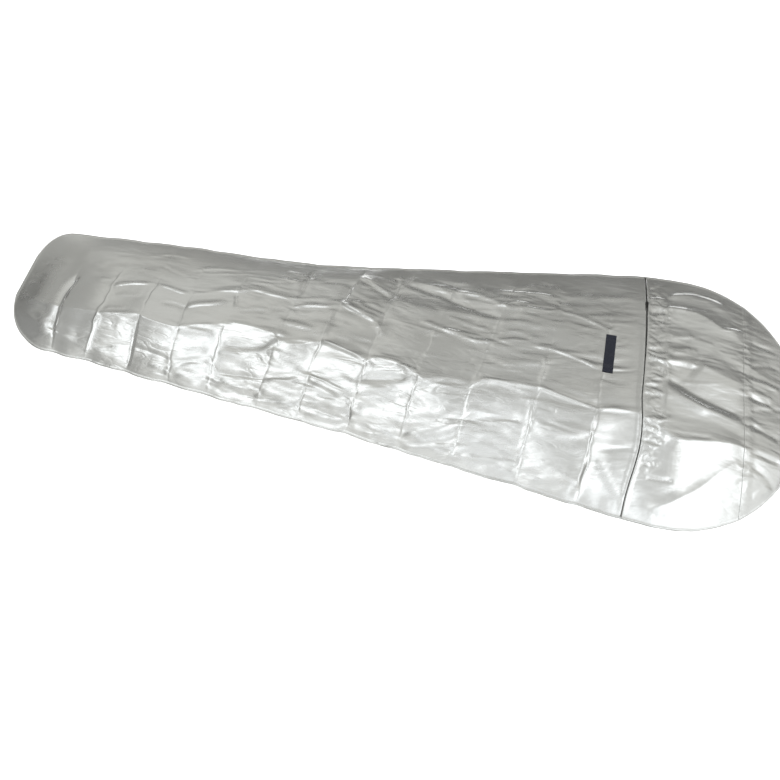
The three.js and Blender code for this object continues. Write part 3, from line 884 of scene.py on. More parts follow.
@dataclass(frozen=True)
class FilmFinish:
    """Satin aluminised film with a warm cast, dulled along its creases, with a fine crinkle.

    Scales are per metre, places and the relief are in metres, and a stretch is a share of the scale along x.
    """

    silver: Colour = (0.79, 0.794, 0.787)
    cooler: Colour = (0.82, 0.827, 0.825)
    dull: Colour = (0.62, 0.622, 0.612)
    roughness: float = 0.13
    haze_scale: float = 4.0
    haze_tone: Profile = Profile(0.0, ((0.4, 0.25, 1.0),))
    haze_gloss: float = 0.1
    grain_scale: float = 170.0
    grain_dull: float = 0.08
    grain_gloss: float = 0.04
    grain_height: float = 0.04
    wear_dull: float = 0.45
    wear_gloss: float = 0.12
    crack_stretch: float = 0.4
    fold_stretch: float = 0.34
    fold_turn: float = 0.1
    patch_scale: float = 6.0
    patches: Profile = Profile(0.2, ((0.42, 0.2, 1.0),))
    near: Profile = Profile(1.0, ((-0.13, 0.08, -1.0),))
    least_folds: float = 0.3
    near_folds: Profile = Profile(0.65, ((0.1, 0.3, -0.5),))
    far_folds: Profile = Profile(0.0, ((-0.3, 0.4, 0.35),))
    relief: float = 0.0005
    # Scale, most and height of each layer of cracks, then scale, bend and height of each layer of folds.
    cracks: tuple[Triple, ...] = ((30.0, 0.32, 0.8), (90.0, 0.3, 0.3))
    folds: tuple[Triple, ...] = ((23.0, 1.1, 6.0), (60.0, 0.9, 2.0))

    def fold_share(self, shader: Shader, spot: Socket) -> Socket:
        """Share of the folds that shows, in patches: most on the near side of the legs, least on the far one.

        Args:
            shader: The film's material.
            spot: Object coordinates.

        Returns:
            The share.
        """
        along, across = shader.axes(spot, "XY")
        near = self.near.at(across)
        lively = self.least_folds + near * self.near_folds.at(along) + (1.0 - near) * self.far_folds.at(along)
        return self.patches.at(shader.cloud(spot, self.patch_scale, 1.0)) * lively

    def material(self) -> bpy.types.Material:
        """Makes the finish.

        Returns:
            The material.
        """
        shader = Shader("silver_film")
        spot = shader.place()
        lengthwise = shader.place((self.crack_stretch, 1.0, 1.0))
        drawn = shader.place((self.fold_stretch, 1.0, 1.0), self.fold_turn)
        wear = shader.make("ShaderNodeAttribute", {"attribute_name": "wear"}, output="Fac")
        haze = shader.cloud(spot, self.haze_scale)
        grain = shader.cloud(lengthwise, self.grain_scale, 2.0)
        tone = shader.blend(self.haze_tone.at(haze), self.silver, self.cooler)
        colour = shader.blend(wear * self.wear_dull + grain * self.grain_dull, tone, self.dull)
        gloss = self.roughness + haze * self.haze_gloss + wear * self.wear_gloss + grain * self.grain_gloss
        height = grain * self.grain_height
        for scale, most, rise in self.cracks:
            height = height + shader.cracks(lengthwise, scale).at_most(most) * rise
        fold_share = self.fold_share(shader, spot)
        for scale, bend, rise in self.folds:
            height = height + fold_share * shader.creased(drawn, scale, bend) * rise
        return shader.finish(height, self.relief, Base_Color=colour, Metallic=1.0, Roughness=gloss)


@dataclass(frozen=True)
class WeaveFinish:
    """Matt woven tape or label: two crossing rows of threads in a dark yarn.

    Threads are counted per metre, and a wave texture draws about three bands for each unit of its scale.
    """

    name: str
    yarn: Colour
    light: Colour
    threads: float
    sheen: float = 0.2
    sheen_roughness: float = 0.4
    roughness: float = 0.72
    bands: float = 3.0
    thread_bend: float = 0.4
    weave_tone: float = 0.5
    fuzz_scale: float = 900.0
    fuzz_tone: float = 0.3
    fuzz_height: float = 0.5
    fuzz_gloss: float = 0.2
    relief: float = 0.0002

    def material(self) -> bpy.types.Material:
        """Makes the finish.

        Returns:
            The material.
        """
        shader = Shader(self.name)
        spot = shader.place()
        waves = {"wave_type": "BANDS", "wave_profile": "SIN"}
        scale = self.threads / self.bands
        rows = {"Vector": spot, "Scale": scale, "Distortion": self.thread_bend, "Detail": 1.0}
        warp, weft = (
            shader.make("ShaderNodeTexWave", {**waves, "bands_direction": axis}, rows, "Fac") for axis in "XY"
        )
        fuzz = shader.cloud(spot, self.fuzz_scale)
        weave = warp * weft
        return shader.finish(
            weave + fuzz * self.fuzz_height,
            self.relief,
            Base_Color=shader.blend(weave * self.weave_tone + fuzz * self.fuzz_tone, self.yarn, self.light),
            Roughness=self.roughness + fuzz * self.fuzz_gloss,
            Sheen_Weight=self.sheen,
            Sheen_Roughness=self.sheen_roughness,
        )


@dataclass(frozen=True)
class GrainFinish:
    """Moulded or coated finish: an even colour with a fine grain, a little wear and a set gloss."""

    name: str
    colour: Colour
    worn: Colour
    roughness: float
    scale: float
    metallic: float = 0.0
    grain_tone: float = 0.15
    grain_gloss: float = 0.15
    patch_size: float = 9.0
    patches: Profile = Profile(0.0, ((0.5, 0.3, 0.5),))
    relief: float = 0.00008

    def material(self) -> bpy.types.Material:
        """Makes the finish.

        Returns:
            The material.
        """
        shader = Shader(self.name)
        spot = shader.place()
        grain = shader.cloud(spot, self.scale)
        patch = shader.cloud(spot, self.scale / self.patch_size)
        wear = self.patches.at(patch) + grain * self.grain_tone
        colour = shader.blend(wear, self.colour, self.worn)
        rough = self.roughness + grain * self.grain_gloss
        return shader.finish(grain, self.relief, Base_Color=colour, Metallic=self.metallic, Roughness=rough)


@dataclass(frozen=True)
class GroundFinish:
    """Plain pale floor of the studio."""

    colour: Colour = (0.9, 0.9, 0.895)
    roughness: float = 0.85
    white: Colour = (1.0, 1.0, 1.0)
    glow: float = 0.6
    grain_scale: float = 30.0
    relief: float = 0.0001

    def material(self) -> bpy.types.Material:
        """Makes the finish.

        Returns:
            The material.
        """
        shader = Shader("pale_floor")
        return shader.finish(
            shader.cloud(shader.place(), self.grain_scale),
            self.relief,
            Base_Color=self.colour,
            Roughness=self.roughness,
            Emission_Color=self.white,
            Emission_Strength=self.glow,
        )


TAPE_WEAVE = WeaveFinish(
    "woven_tape", yarn=(0.085, 0.083, 0.078), light=(0.16, 0.157, 0.148), threads=1600.0
)
LABEL_WEAVE = WeaveFinish(
    "navy_weave", yarn=(0.012, 0.014, 0.026), light=(0.035, 0.04, 0.065), threads=2200.0
)
COIL_NYLON = GrainFinish(
    "nylon_coil",
    colour=(0.12, 0.117, 0.11),
    worn=(0.18, 0.175, 0.165),
    roughness=0.42,
    scale=700.0,
)
SLIDER_ENAMEL = GrainFinish(
    "dark_enamel",
    colour=(0.035, 0.034, 0.033),
    worn=(0.11, 0.11, 0.105),
    roughness=0.3,
    metallic=0.7,
    scale=500.0,
)
FILM_THREAD = GrainFinish(
    "grey_thread",
    colour=(0.58, 0.58, 0.57),
    worn=(0.72, 0.72, 0.71),
    roughness=0.5,
    scale=2500.0,
)
LABEL_THREAD = GrainFinish(
    "navy_thread",
    colour=(0.014, 0.016, 0.03),
    worn=(0.03, 0.034, 0.06),
    roughness=0.6,
    scale=2500.0,
)


def primitive(add: Callable[..., Any], **settings: Any) -> bpy.types.Object:
    """Adds a primitive, with nothing else selected.

    Args:
        add: The primitive's operator.
        **settings: The operator's settings.

    Returns:
        The new object.
    """
    bpy.ops.object.select_all(action="DESELECT")
    add(**settings)
    return bpy.context.object


def alone(piece: bpy.types.Object) -> None:
    """Selects one object and nothing else.

    Args:
        piece: The object.
    """
    bpy.ops.object.select_all(action="DESELECT")
    piece.select_set(True)
    bpy.context.view_layer.objects.active = piece


def applied(piece: bpy.types.Object, kind: str, **settings: Any) -> None:
    """Adds a modifier to a piece and applies it.

    Args:
        piece: The piece.
        kind: The modifier's type.
        **settings: Its settings.
    """
    alone(piece)
    modifier = piece.modifiers.new(kind.lower(), kind)
    for name, value in settings.items():
        setattr(modifier, name, value)
    bpy.ops.object.modifier_apply(modifier=modifier.name)


def joined(first: bpy.types.Object, *others: bpy.types.Object) -> bpy.types.Object:
    """Joins pieces into the first one.

    Args:
        first: The piece that stays.
        *others: The pieces that go into it.

    Returns:
        The joined piece.
    """
    alone(first)
    for piece in others:
        piece.select_set(True)
    bpy.ops.object.join()
    return first


def settled(piece: bpy.types.Object) -> bpy.types.Object:
    """Puts a piece's place, turn and size into its mesh.

    Args:
        piece: The piece.

    Returns:
        The same piece.
    """
    alone(piece)
    bpy.ops.object.transform_apply(location=True, rotation=True, scale=True)
    return piece


def smoothed(piece: bpy.types.Object) -> bpy.types.Object:
    """Shades a piece smooth.

    Args:
        piece: The piece.

    Returns:
        The same piece.
    """
    alone(piece)
    bpy.ops.object.shade_smooth()
    return piece


def dress(piece: bpy.types.Object, finish: bpy.types.Material, slot: Slot | None = None) -> bpy.types.Object:
    """Gives a piece its finish and its body, and reports it.

    Args:
        piece: The finished piece.
        finish: Its material.
        slot: The record's slot, or None where it has none; not used.

    Returns:
        The piece.
    """
    piece.data.materials.clear()
    piece.data.materials.append(finish)
    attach(piece, "root")
    LOG.info("%s: %d faces", piece.name, len(piece.data.polygons))
    return piece


@dataclass
class Sheet:
    """A thin sheet over a grid of outer points: rows along the bag, columns from the near side to the far."""

    name: str
    x: Array
    y: Array
    z: Array
    thickness: float
    full_wear: float = 1.1

    def wear(self) -> Array:
        """How sharply the sheet bends at each point, 0 to 1, by its height over the points two steps off.

        Returns:
            The wear at each point.
        """
        padded = np.pad(self.z, 2, mode="edge")
        beside = (padded[4:, 2:-2] + padded[:-4, 2:-2] + padded[2:-2, 4:] + padded[2:-2, :-4]) / 4
        return np.clip(np.abs(self.z - beside) / self.full_wear, 0, 1)

    def build(self) -> bpy.types.Object:
        """Models the sheet from a grid and gives it its thickness.

        Returns:
            The sheet's object.
        """
        rows, columns = self.x.shape
        cells = {"x_subdivisions": rows - 1, "y_subdivisions": columns - 1}
        piece = primitive(bpy.ops.mesh.primitive_grid_add, size=2, **cells)
        piece.name = self.name
        flat = np.empty(rows * columns * 3, np.float32)
        piece.data.vertices.foreach_get("co", flat)
        i = np.rint((flat[0::3] + 1) / 2 * (rows - 1)).astype(int)
        j = np.rint((flat[1::3] + 1) / 2 * (columns - 1)).astype(int)
        points = np.stack([self.x[i, j], self.y[i, j], self.z[i, j]], 1) * MM
        piece.data.vertices.foreach_set("co", points.astype(np.float32).ravel())
        wear = piece.data.attributes.new("wear", "FLOAT", "POINT")
        wear.data.foreach_set("value", self.wear()[i, j].astype(np.float32))
        piece.data.update()
        applied(piece, "SOLIDIFY", thickness=self.thickness * MM, offset=-1.0, use_quality_normals=True)
        return smoothed(piece)


class Surface:
    """What can be laid on: the topmost of some pieces at a place in plan."""

    def __init__(self, *pieces: bpy.types.Object) -> None:
        """Keeps a tree of each piece's faces."""
        graph = bpy.context.evaluated_depsgraph_get()
        self.trees = [BVHTree.FromObject(piece, graph) for piece in pieces]

    def drop(self, x: float, y: float) -> tuple[Vector, Vector] | None:
        """Finds the surface under a place.

        Args:
            x: Place along the bag.
            y: Place across the bag.

        Returns:
            The point and the surface's normal, in metres, or None where there is nothing.
        """
        found = None
        for tree in self.trees:
            point, normal, _, _ = tree.ray_cast(Vector((x * MM, y * MM, 1.0)), Vector((0, 0, -1)))
            if point is not None and (found is None or point.z > found[0].z):
                found = (point, normal if normal.z > 0 else -normal)
        return found


@dataclass
class Film:
    """What the top films share: their crumple, and how they end at the seam and in a welt beside the zip."""

    outline: Outline
    finish: bpy.types.Material
    thickness: float = 0.9
    full_height: float = 15.0
    open_share: Ramp = Ramp(0, 200, 0.45)
    welt: Ramp = Ramp(13, 4, 0.0, 0.9)
    crumples: tuple[Crumple, ...] = (
        Crumple(11, 150, 46, 2.6),
        Crumple(23, 76, 24, 1.1),
    )
    wrinkles: tuple[Wrinkles, ...] = ()

    def wrinkled(self, x: Array, y: Array) -> Array:
        """Height that the wrinkles add at each place."""
        return lifted([crease for patch in self.wrinkles for crease in patch.creases(self.outline)], x, y)

    def gap(self, y: Array) -> Array:
        """Half width of the slot that is left open over the zip: narrower on the near side."""
        return self.outline.zip_half * self.open_share.at(y)

    def share(self, height: Array) -> Array:
        """Share of a fold's depth that is left where the film comes down to its seam."""
        return np.clip(height / self.full_height, 0, 1)


@dataclass(frozen=True)
class Row:
    """A row of the body film's grid: its points, y of its lengthwise folds, and y of the roof's ridge."""

    x: Array
    y: Array
    folds: Array
    ridge: float


@dataclass
class BodyFilm(Film):
    """Top film from the toe to the zip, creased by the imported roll."""

    rows: int = 21
    row_pull: float = 0.8
    columns: tuple[int, ...] = (2, 36, 24, 34, 30, 38, 2)
    column_pulls: tuple[float, ...] = (0, 0.25, 0.35, 0.35, 0.35, 0.25, 0)
    cross_reach: float = 5.0
    length_reach: float = 9.0
    length_rises: tuple[float, ...] = (-0.6, 0.8, 0.7, 0.6)
    lead: float = 0.1
    ridge_lead: float = 0.35
    near_half: Ramp = Ramp(30, -25)
    far_depth: float = 0.5
    cell_seed: int = 5
    corner_size: float = 2.6
    pillow: tuple[float, float] = (0.2, 1.2)
    fold_end: float = 0.35
    plain_toe: Ramp = Ramp(-760, -600, 0.3)
    cross_far: float = 0.6
    plain_strips: Ramp = Ramp(-520, -640, 0.0, 0.85)
    plain_far: Ramp = Ramp(45, 90)
    uneven: Triple = (0.3, 31.0, 2.3)
    wander: tuple[Triple, ...] = ((2.0, 19.0, 1.7), (1.2, 7.3, 1.0))
    far_crumple: Ramp = Ramp(-700, 0, 0.3, 0.9)
    crease_sizes: tuple[float, float] = (0.95, 1.1)
    wrinkle_least: float = 0.6
    wrinkle_gains: tuple[float, float] = (0.45, 0.3)
    lively_legs: Ramp = Ramp(-560, -360)
    zip_calm: float = 0.4
    calm_crumple: float = 0.25
    calm_creases: float = 0.4
    calm_wrinkles: float = 0.3
    puckers: Crumple = Crumple(71, 60, 9, 0.55)
    pucker_rise: float = 0.35
    pucker_reach: float = 46.0
    wrinkles: tuple[Wrinkles, ...] = (
        Wrinkles(60, 50, Side.NEAR, -1060, -560, 0.05, 0.97, (40, 140), (0.2, 0.6)),
        Wrinkles(61, 170, Side.NEAR, -560, 640, 0.05, 0.97, (40, 140), (0.3, 1.0)),
        Wrinkles(62, 200, Side.FAR, -1000, 640, 0.05, 0.82, (30, 110), (0.3, 1.0), 0.3),
        Wrinkles(63, 120, Side.FAR, 210, 450, 0.05, 0.85, (24, 70), (0.35, 0.9), 0.2, (7, 14)),
        Wrinkles(70, 150, Side.FAR, -480, 640, 0.0, 0.8, (18, 60), (0.4, 1.1), 0.45, (8, 20)),
        Wrinkles(64, 60, Side.NEAR, -340, -190, 0.66, 0.97, (30, 90), (0.4, 1.0), 0.1, (6, 13)),
        Wrinkles(65, 60, Side.NEAR, -200, -60, 0.5, 0.95, (30, 80), (0.4, 1.0), 0.24, (6, 14)),
        Wrinkles(66, 90, Side.NEAR, 210, 420, 0.35, 0.92, (30, 90), (0.35, 0.9), 0.12, (6, 14)),
        Wrinkles(68, 170, Side.NEAR, -620, 530, 0.82, 0.985, (18, 70), (0.5, 1.4), 0.3, (6, 12)),
    )

    def zip_edge(self, y: Array) -> Array:
        """x of the film's edge before the zip."""
        return self.outline.crossing(ZIP, y) - self.gap(y)

    def fold_places(self, strip: int, share: float, lead: float) -> Array:
        """Places the lengthwise folds of a strip, led to its neighbours' beside the cross folds.

        Args:
            strip: The strip.
            share: Share of the strip.
            lead: Share of the strip over which they are led.

        Returns:
            y of the four folds.
        """

        def own(which: int, at: float) -> Array:
            """The folds of one strip by themselves."""
            return np.array(STRIPS[which].folds, float) + STRIPS[which].drift * at

        before, after = max(0, strip - 1), min(len(STRIPS) - 1, strip + 1)
        head = np.clip(1 - share / lead, 0, 1) / 2
        tail = np.clip(1 - (1 - share) / lead, 0, 1) / 2
        return own(strip, share) * (1 - head - tail) + own(before, 1) * head + own(after, 0) * tail

    def bands(self) -> tuple[Array, Array]:
        """Sorts the grid's columns into the bands between the folds.

        Returns:
            The band of each column, and the share of the band that it is at.
        """
        last = len(self.columns) - 1
        band = np.append(np.repeat(np.arange(last + 1), self.columns), last)
        shares = [gathered(count, pull)[:-1] for count, pull in zip(self.columns, self.column_pulls)]
        return band, np.append(np.concatenate(shares), 1.0)

    def row(self, strip: int, share: float) -> Row:
        """Works out one row of the film's grid.

        Args:
            strip: The strip that the row is in.
            share: Its share of the strip.

        Returns:
            The row.
        """
        outline = self.outline
        start = outline.beside(STRIPS[strip].line, outline.margin if strip == 0 else 0.0)
        end = self.zip_edge if strip == len(STRIPS) - 1 else outline.beside(STRIPS[strip + 1].line, 0.0)
        x_at = between(start, end, share)
        far, near = outline.edge_on(x_at, Side.FAR), outline.edge_on(x_at, Side.NEAR)
        first = STRIPS[1].line
        slim_far = min(1.0, far / float(outline.along(Column.FAR, first.far)))
        slim_near = min(1.0, -near / float(outline.along(Column.NEAR, first.near)))
        folds = self.fold_places(strip, share, self.lead)
        folds = folds * np.where(folds > 0, slim_far, slim_near)
        ridge = float(self.fold_places(strip, share, self.ridge_lead)[1]) * slim_near
        flanges = (near + outline.flange * slim_near, far - outline.flange * slim_far)
        lines = np.array([near, flanges[0], *folds, flanges[1], far])
        band, across = self.bands()
        y = lines[band] + (lines[band + 1] - lines[band]) * across
        return Row(x_at(y), y, folds, ridge)

    def grid(self) -> Sheet:
        """Works out the film's points.

        Returns:
            The film's sheet.
        """
        last = len(STRIPS) - 1
        shares = gathered(self.rows, self.row_pull)[:-1]
        places = [(strip, share) for strip in range(last + 1) for share in shares]
        places.append((last, 1.0))
        rows = [self.row(strip, share) for strip, share in places]
        x, y = np.array([row.x for row in rows]), np.array([row.y for row in rows])
        folds, ridge = np.array([row.folds for row in rows]), np.array([[row.ridge] for row in rows])
        strip, share = np.array([[place[0]] for place in places]), np.array([[place[1]] for place in places])
        near_half = self.near_half.at(y - ridge)
        calm = np.where(strip == last, np.clip((1 - share) / self.zip_calm - 0.5, 0, 1), 1)
        lift = (self.folds(x, y, folds, share, near_half) + self.cells(strip, share)) * calm
        lift += self.marks(x, y, near_half, calm) + self.zip_puckers(x, y)
        height = self.outline.roof(x, y, ridge)
        z = self.outline.seam_top + height + lift * self.share(height * at_least(self.far_depth, near_half))
        return Sheet("body_film", x, y, z, self.thickness)

    def folds(self, x: Array, y: Array, folds: Array, share: Array, near_half: Array) -> Array:
        """Height that the roll's cross folds and lengthwise folds add.

        Args:
            x: Places along the bag.
            y: Places across the bag.
            folds: y of the lengthwise folds in each row.
            share: Share of its strip that each row is at.
            near_half: 1 on the near side of the ridge, 0 on the far side.

        Returns:
            The added height.
        """
        lift = np.zeros_like(x)
        ends = at_least(self.fold_end, np.clip(np.minimum(share, 1 - share) / self.lead, 0, 1))
        for k, rise in enumerate(self.length_rises):
            # The fold nearest to the far edge is plain at the toe.
            plain_toe = self.plain_toe.at(x) if k == len(self.length_rises) - 1 else 1.0
            lift += rise * ends * plain_toe * tent(y - folds[:, k : k + 1], self.length_reach)
        for k, strip in enumerate(STRIPS):
            size, wave, phase = self.uneven
            uneven = 1 - size + size * np.sin(y / wave + phase * k)
            plain_far = 1 - self.plain_far.at(y) * self.plain_strips.at(strip.line.mid)
            depth = strip.depth * at_least(self.cross_far, near_half) * uneven * plain_far
            wander = sum(size * np.sin(y / wave + phase * k) for size, wave, phase in self.wander)
            lift -= depth * tent(x - self.outline.crossing(strip.line, y) - wander, self.cross_reach)
        return lift

    def cells(self, strip: Array, share: Array) -> Array:
        """Height of the uneven cells between the folds: their tilts and their bulge.

        Args:
            strip: Strip of each row.
            share: Share of the strip that each row is at.

        Returns:
            The added height.
        """
        band, across = (part[None, :] for part in self.bands())
        count = len(self.columns)
        dice = np.random.default_rng(self.cell_seed)
        corners = dice.uniform(-1, 1, (len(STRIPS) + 1, count + 1)) * self.corner_size
        corners[:, [0, 1, count - 1, count]] = 0
        corners[[0, -1]] = 0
        bulge = self.pillow[0] + self.pillow[1] * dice.uniform(-1, 1, (len(STRIPS), count))
        low = corners[strip, band] * (1 - across) + corners[strip, band + 1] * across
        high = corners[strip + 1, band] * (1 - across) + corners[strip + 1, band + 1] * across
        puff = bulge[strip, band] * np.sin(np.pi * share) * np.sin(np.pi * across)
        return low * (1 - share) + high * share + puff

    def marks(self, x: Array, y: Array, near_half: Array, calm: Array) -> Array:
        """Height that the crumple, the creases and the wrinkles add, with less of them beside the zip.

        Args:
            x: Places along the bag.
            y: Places across the bag.
            near_half: 1 on the near side of the ridge, 0 on the far side.
            calm: 0 beside the zip, 1 over the rest of the film.

        Returns:
            The added height.
        """

        def halves(far: float, near: float) -> Array:
            """A value that differs between the far half and the near one."""
            return far + (near - far) * near_half

        # The far half is smoother than the near one, most of all at the toe.
        crumple = lifted(self.crumples, x, y) * at_least(self.far_crumple.at(x), near_half)
        creases = lifted(BODY_CREASES, x, y) * halves(*self.crease_sizes)
        lively = np.maximum(near_half, self.lively_legs.at(x))
        wrinkles = self.wrinkled(x, y) * (self.wrinkle_least + halves(*self.wrinkle_gains) * lively)
        crumple *= at_least(self.calm_crumple, calm)
        creases *= at_least(self.calm_creases, calm)
        wrinkles *= at_least(self.calm_wrinkles, calm)
        return crumple + creases + wrinkles

    def zip_puckers(self, x: Array, y: Array) -> Array:
        """Fine gathers and the turned edge beside the zip.

        Args:
            x: Places along the bag.
            y: Places across the bag.

        Returns:
            The added height at each place.
        """
        away = self.zip_edge(y) - x
        puckers = (self.puckers.lift(x, y) + self.pucker_rise) * tent(away, self.pucker_reach)
        return puckers + self.welt.at(away)

    def build(self) -> bpy.types.Object:
        """Models and dresses the film.

        Returns:
            The film.
        """
        piece = dress(self.grid().build(), self.finish, Slot.FILM)
        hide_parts("body_panel")
        return piece


@dataclass
class HoodFilm(Film):
    """Top film from the zip to the hood's seam, with folds that run from the chest to the seam."""

    rows: int = 92
    columns: int = 216
    near_columns: int = 72
    lap: float = 12.0
    crest_y: float = -150.0
    crest_room: float = 4.0
    crumple_share: float = 0.5
    calm: Ramp = Ramp(0, 30)
    calm_crumple: float = 0.2
    calm_creases: float = 0.3
    gathers: tuple[Crumple, ...] = (Crumple(83, 26, 13, 2.3), Crumple(84, 11, 6, 1.0))
    gather_rise: float = 0.5
    gather_reach: float = 74.0
    gather_waves: tuple[tuple[float, float], ...] = ((16, 31.0), (9, 11.0))
    gather_start: Ramp = Ramp(-6, 18)
    gather_end: Ramp = Ramp(1.0, 0.45)
    gather_near: Ramp = Ramp(-320, -235)
    fan: Crumple = Crumple(91, 90, 17, 1.3)
    fan_from: float = 950.0
    fan_length: float = 900.0
    fan_start: Ramp = Ramp(-40, 10)
    fan_end: Ramp = Ramp(60, 140, 1.0, 0.5)
    seam_puckers: Crumple = Crumple(92, 24, 12, 1.3)
    seam_reach: float = 34.0
    wrinkles: tuple[Wrinkles, ...] = (
        Wrinkles(67, 80, Side.FAR, 700, 1060, 0.0, 0.97, (40, 120), (0.2, 0.8)),
        Wrinkles(69, 40, Side.NEAR, 700, 1060, 0.05, 0.97, (40, 120), (0.2, 0.5)),
    )

    def zip_edge(self, y: Array) -> Array:
        """x of the film's edge past the zip."""
        return self.outline.crossing(ZIP, y) + self.gap(y)

    def line(self, x_at: LineX) -> tuple[Array, Array]:
        """Points on one line across the hood, with one of them on its ridge.

        Args:
            x_at: x of the line at each y.

        Returns:
            x and y of the points.
        """
        outline = self.outline
        far, near = outline.edge_on(x_at, Side.FAR), outline.edge_on(x_at, Side.NEAR)
        low, high = near + outline.flange, far - outline.flange
        ridge = float(outline.crest_at(x_at(outline.crest_at(x_at(self.crest_y)))))
        ridge = min(max(ridge, low + self.crest_room), high - self.crest_room)
        near_part = np.linspace(low, ridge, self.near_columns + 1)[:-1]
        far_part = np.linspace(ridge, high, self.columns - self.near_columns - 2)
        half = outline.flange / 2
        y = np.concatenate([[near, near + half], near_part, far_part, [far - half, far]])
        return x_at(y), y

    def lines(self, start: LineX, end: LineX, shares: Array) -> tuple[Array, Array]:
        """Points on lines across the hood.

        Args:
            start: x of the first line at each y.
            end: x of the last line at each y.
            shares: Shares of the way between them.

        Returns:
            x and y of the points.
        """
        points = [self.line(between(start, end, share)) for share in shares]
        return np.array([x for x, _ in points]), np.array([y for _, y in points])

    def zip_gathers(self, x: Array, y: Array, past_zip: Array) -> Array:
        """Height that the gathers past the zip and the film's turned edge add.

        Args:
            x: Places along the bag.
            y: Places across the bag.
            past_zip: Distance of each place from the film's edge at the zip.

        Returns:
            The added height.
        """
        reach = self.gather_reach + sum(size * np.sin(y / wave) for size, wave in self.gather_waves)
        share = self.gather_end.at(past_zip / reach) * self.gather_start.at(past_zip) * self.gather_near.at(y)
        return (lifted(self.gathers, x, y) + self.gather_rise) * share + self.welt.at(past_zip)

    def seam_gathers(self, x: Array, y: Array) -> Array:
        """Height that the hood's seam adds: its puckers, and folds that fan out past it.

        Args:
            x: Places along the bag.
            y: Places across the bag.

        Returns:
            The added height.
        """
        past_seam = x - self.outline.crossing(HOOD_SEAM, y)
        fan = self.fan.lift(x, y - (x - self.fan_from) * y / self.fan_length)
        fan = fan * self.fan_start.at(past_seam) * self.fan_end.at(past_seam)
        return fan + self.seam_puckers.lift(x, y) * hump(past_seam, self.seam_reach)

    def height(self, x: Array, y: Array) -> Array:
        """Height of the hood's film.

        Args:
            x: Places along the bag.
            y: Places across the bag.

        Returns:
            The height at each place.
        """
        roof = self.outline.roof(x, y)
        past_zip = x - self.zip_edge(y)
        calm = self.calm.at(past_zip)
        lift = self.crumple_share * lifted(self.crumples, x, y) * at_least(self.calm_crumple, calm)
        creases = lifted(HOOD_CREASES + HOOD_END_CREASES, x, y) + self.wrinkled(x, y)
        lift += creases * at_least(self.calm_creases, calm)
        lift += self.zip_gathers(x, y, past_zip) + self.seam_gathers(x, y)
        return self.outline.seam_top + roof + lift * self.share(roof)

    def build(self) -> bpy.types.Object:
        """Models and dresses the film.

        Returns:
            The film.
        """
        end = self.outline.beside(HOOD_SEAM, self.lap / 2)
        x, y = self.lines(self.zip_edge, end, np.linspace(0, 1, self.rows + 1))
        sheet = Sheet("hood_film", x, y, self.height(x, y), self.thickness)
        piece = dress(sheet.build(), self.finish, Slot.FILM)
        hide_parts("hood_panel")
        return piece


@dataclass
class HoodEndFilm(HoodFilm):
    """End piece of the hood, lapped over the film before it at a sewn seam."""

    rows: int = 56
    row_pull: float = 0.3
    columns: int = 190
    near_columns: int = 64
    lap_step: float = 18.0
    lap_gap: float = 0.3

    def head_edge(self, y: Array) -> Array:
        """x of the film's edge at the head."""
        return np.full_like(np.asarray(y, float), self.outline.head - self.outline.margin)

    def build(self) -> bpy.types.Object:
        """Models and dresses the film.

        Returns:
            The film.
        """
        start = self.outline.beside(HOOD_SEAM, -self.lap / 2)
        x, y = self.lines(start, self.head_edge, gathered(self.rows, self.row_pull))
        past = x - self.outline.crossing(HOOD_SEAM, y) - self.lap / 2
        raised = (self.thickness + self.lap_gap) * ease(self.lap_step, 0, past)
        sheet = Sheet("hood_end_film", x, y, self.height(x, y) + raised, self.thickness)
        piece = dress(sheet.build(), self.finish, Slot.FILM)
        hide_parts("hood_end_panel")
        return piece


@dataclass
class FloorFilm:
    """Bottom film, flat on the ground, whose edge is the seam's margin."""

    outline: Outline
    finish: bpy.types.Material
    thickness: float = 1.2
    rows: int = 210
    columns: int = 40

    def build(self) -> bpy.types.Object:
        """Models and dresses the film.

        Returns:
            The film.
        """
        outline = self.outline
        x = outline.toe * np.cos(np.linspace(0, np.pi, self.rows + 1))[:, None]
        near, far = -outline.half_width(Side.NEAR, x), outline.half_width(Side.FAR, x)
        y = near + (far - near) * np.linspace(0, 1, self.columns + 1)[None, :]
        x = np.broadcast_to(x, y.shape)
        piece = Sheet("floor_film", x, y, np.full_like(y, self.thickness), self.thickness).build()
        dress(piece, self.finish, Slot.FILM)
        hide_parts("floor_panel")
        return piece


@dataclass
class Copies:
    """A small shape that is modelled once and copied along a path, all copies in one mesh."""

    points: Array
    faces: list[list[int]]

    @classmethod
    def of(cls, model: bpy.types.Object) -> "Copies":
        """Takes a modelled shape, and removes its object.

        Args:
            model: The shape's object.

        Returns:
            The shape, ready to be copied.
        """
        mesh = model.data
        points = np.array([vertex.co[:] for vertex in mesh.vertices])
        faces = [list(face.vertices) for face in mesh.polygons]
        bpy.data.objects.remove(model)
        bpy.data.meshes.remove(mesh)
        return cls(points, faces)

    def lay(self, name: str, places: Sequence[Place]) -> bpy.types.Object:
        """Lays a copy at each place.

        Args:
            name: Name of the new piece.
            places: Point, direction and normal of each copy.

        Returns:
            The piece that holds the copies.
        """
        points, faces = [], []
        for k, (point, run, normal) in enumerate(places):
            side = normal.cross(run).normalized()
            along = side.cross(normal).normalized()
            turn = np.array([along[:], side[:], normal.normalized()[:]])
            points.append(self.points @ turn + np.array(point[:]))
            faces.extend([[v + k * len(self.points) for v in face] for face in self.faces])
        mesh = bpy.data.meshes.new(name)
        mesh.from_pydata(np.concatenate(points).tolist(), [], faces)
        mesh.update()
        piece = bpy.data.objects.new(name, mesh)
        bpy.context.scene.collection.objects.link(piece)
        return smoothed(piece)


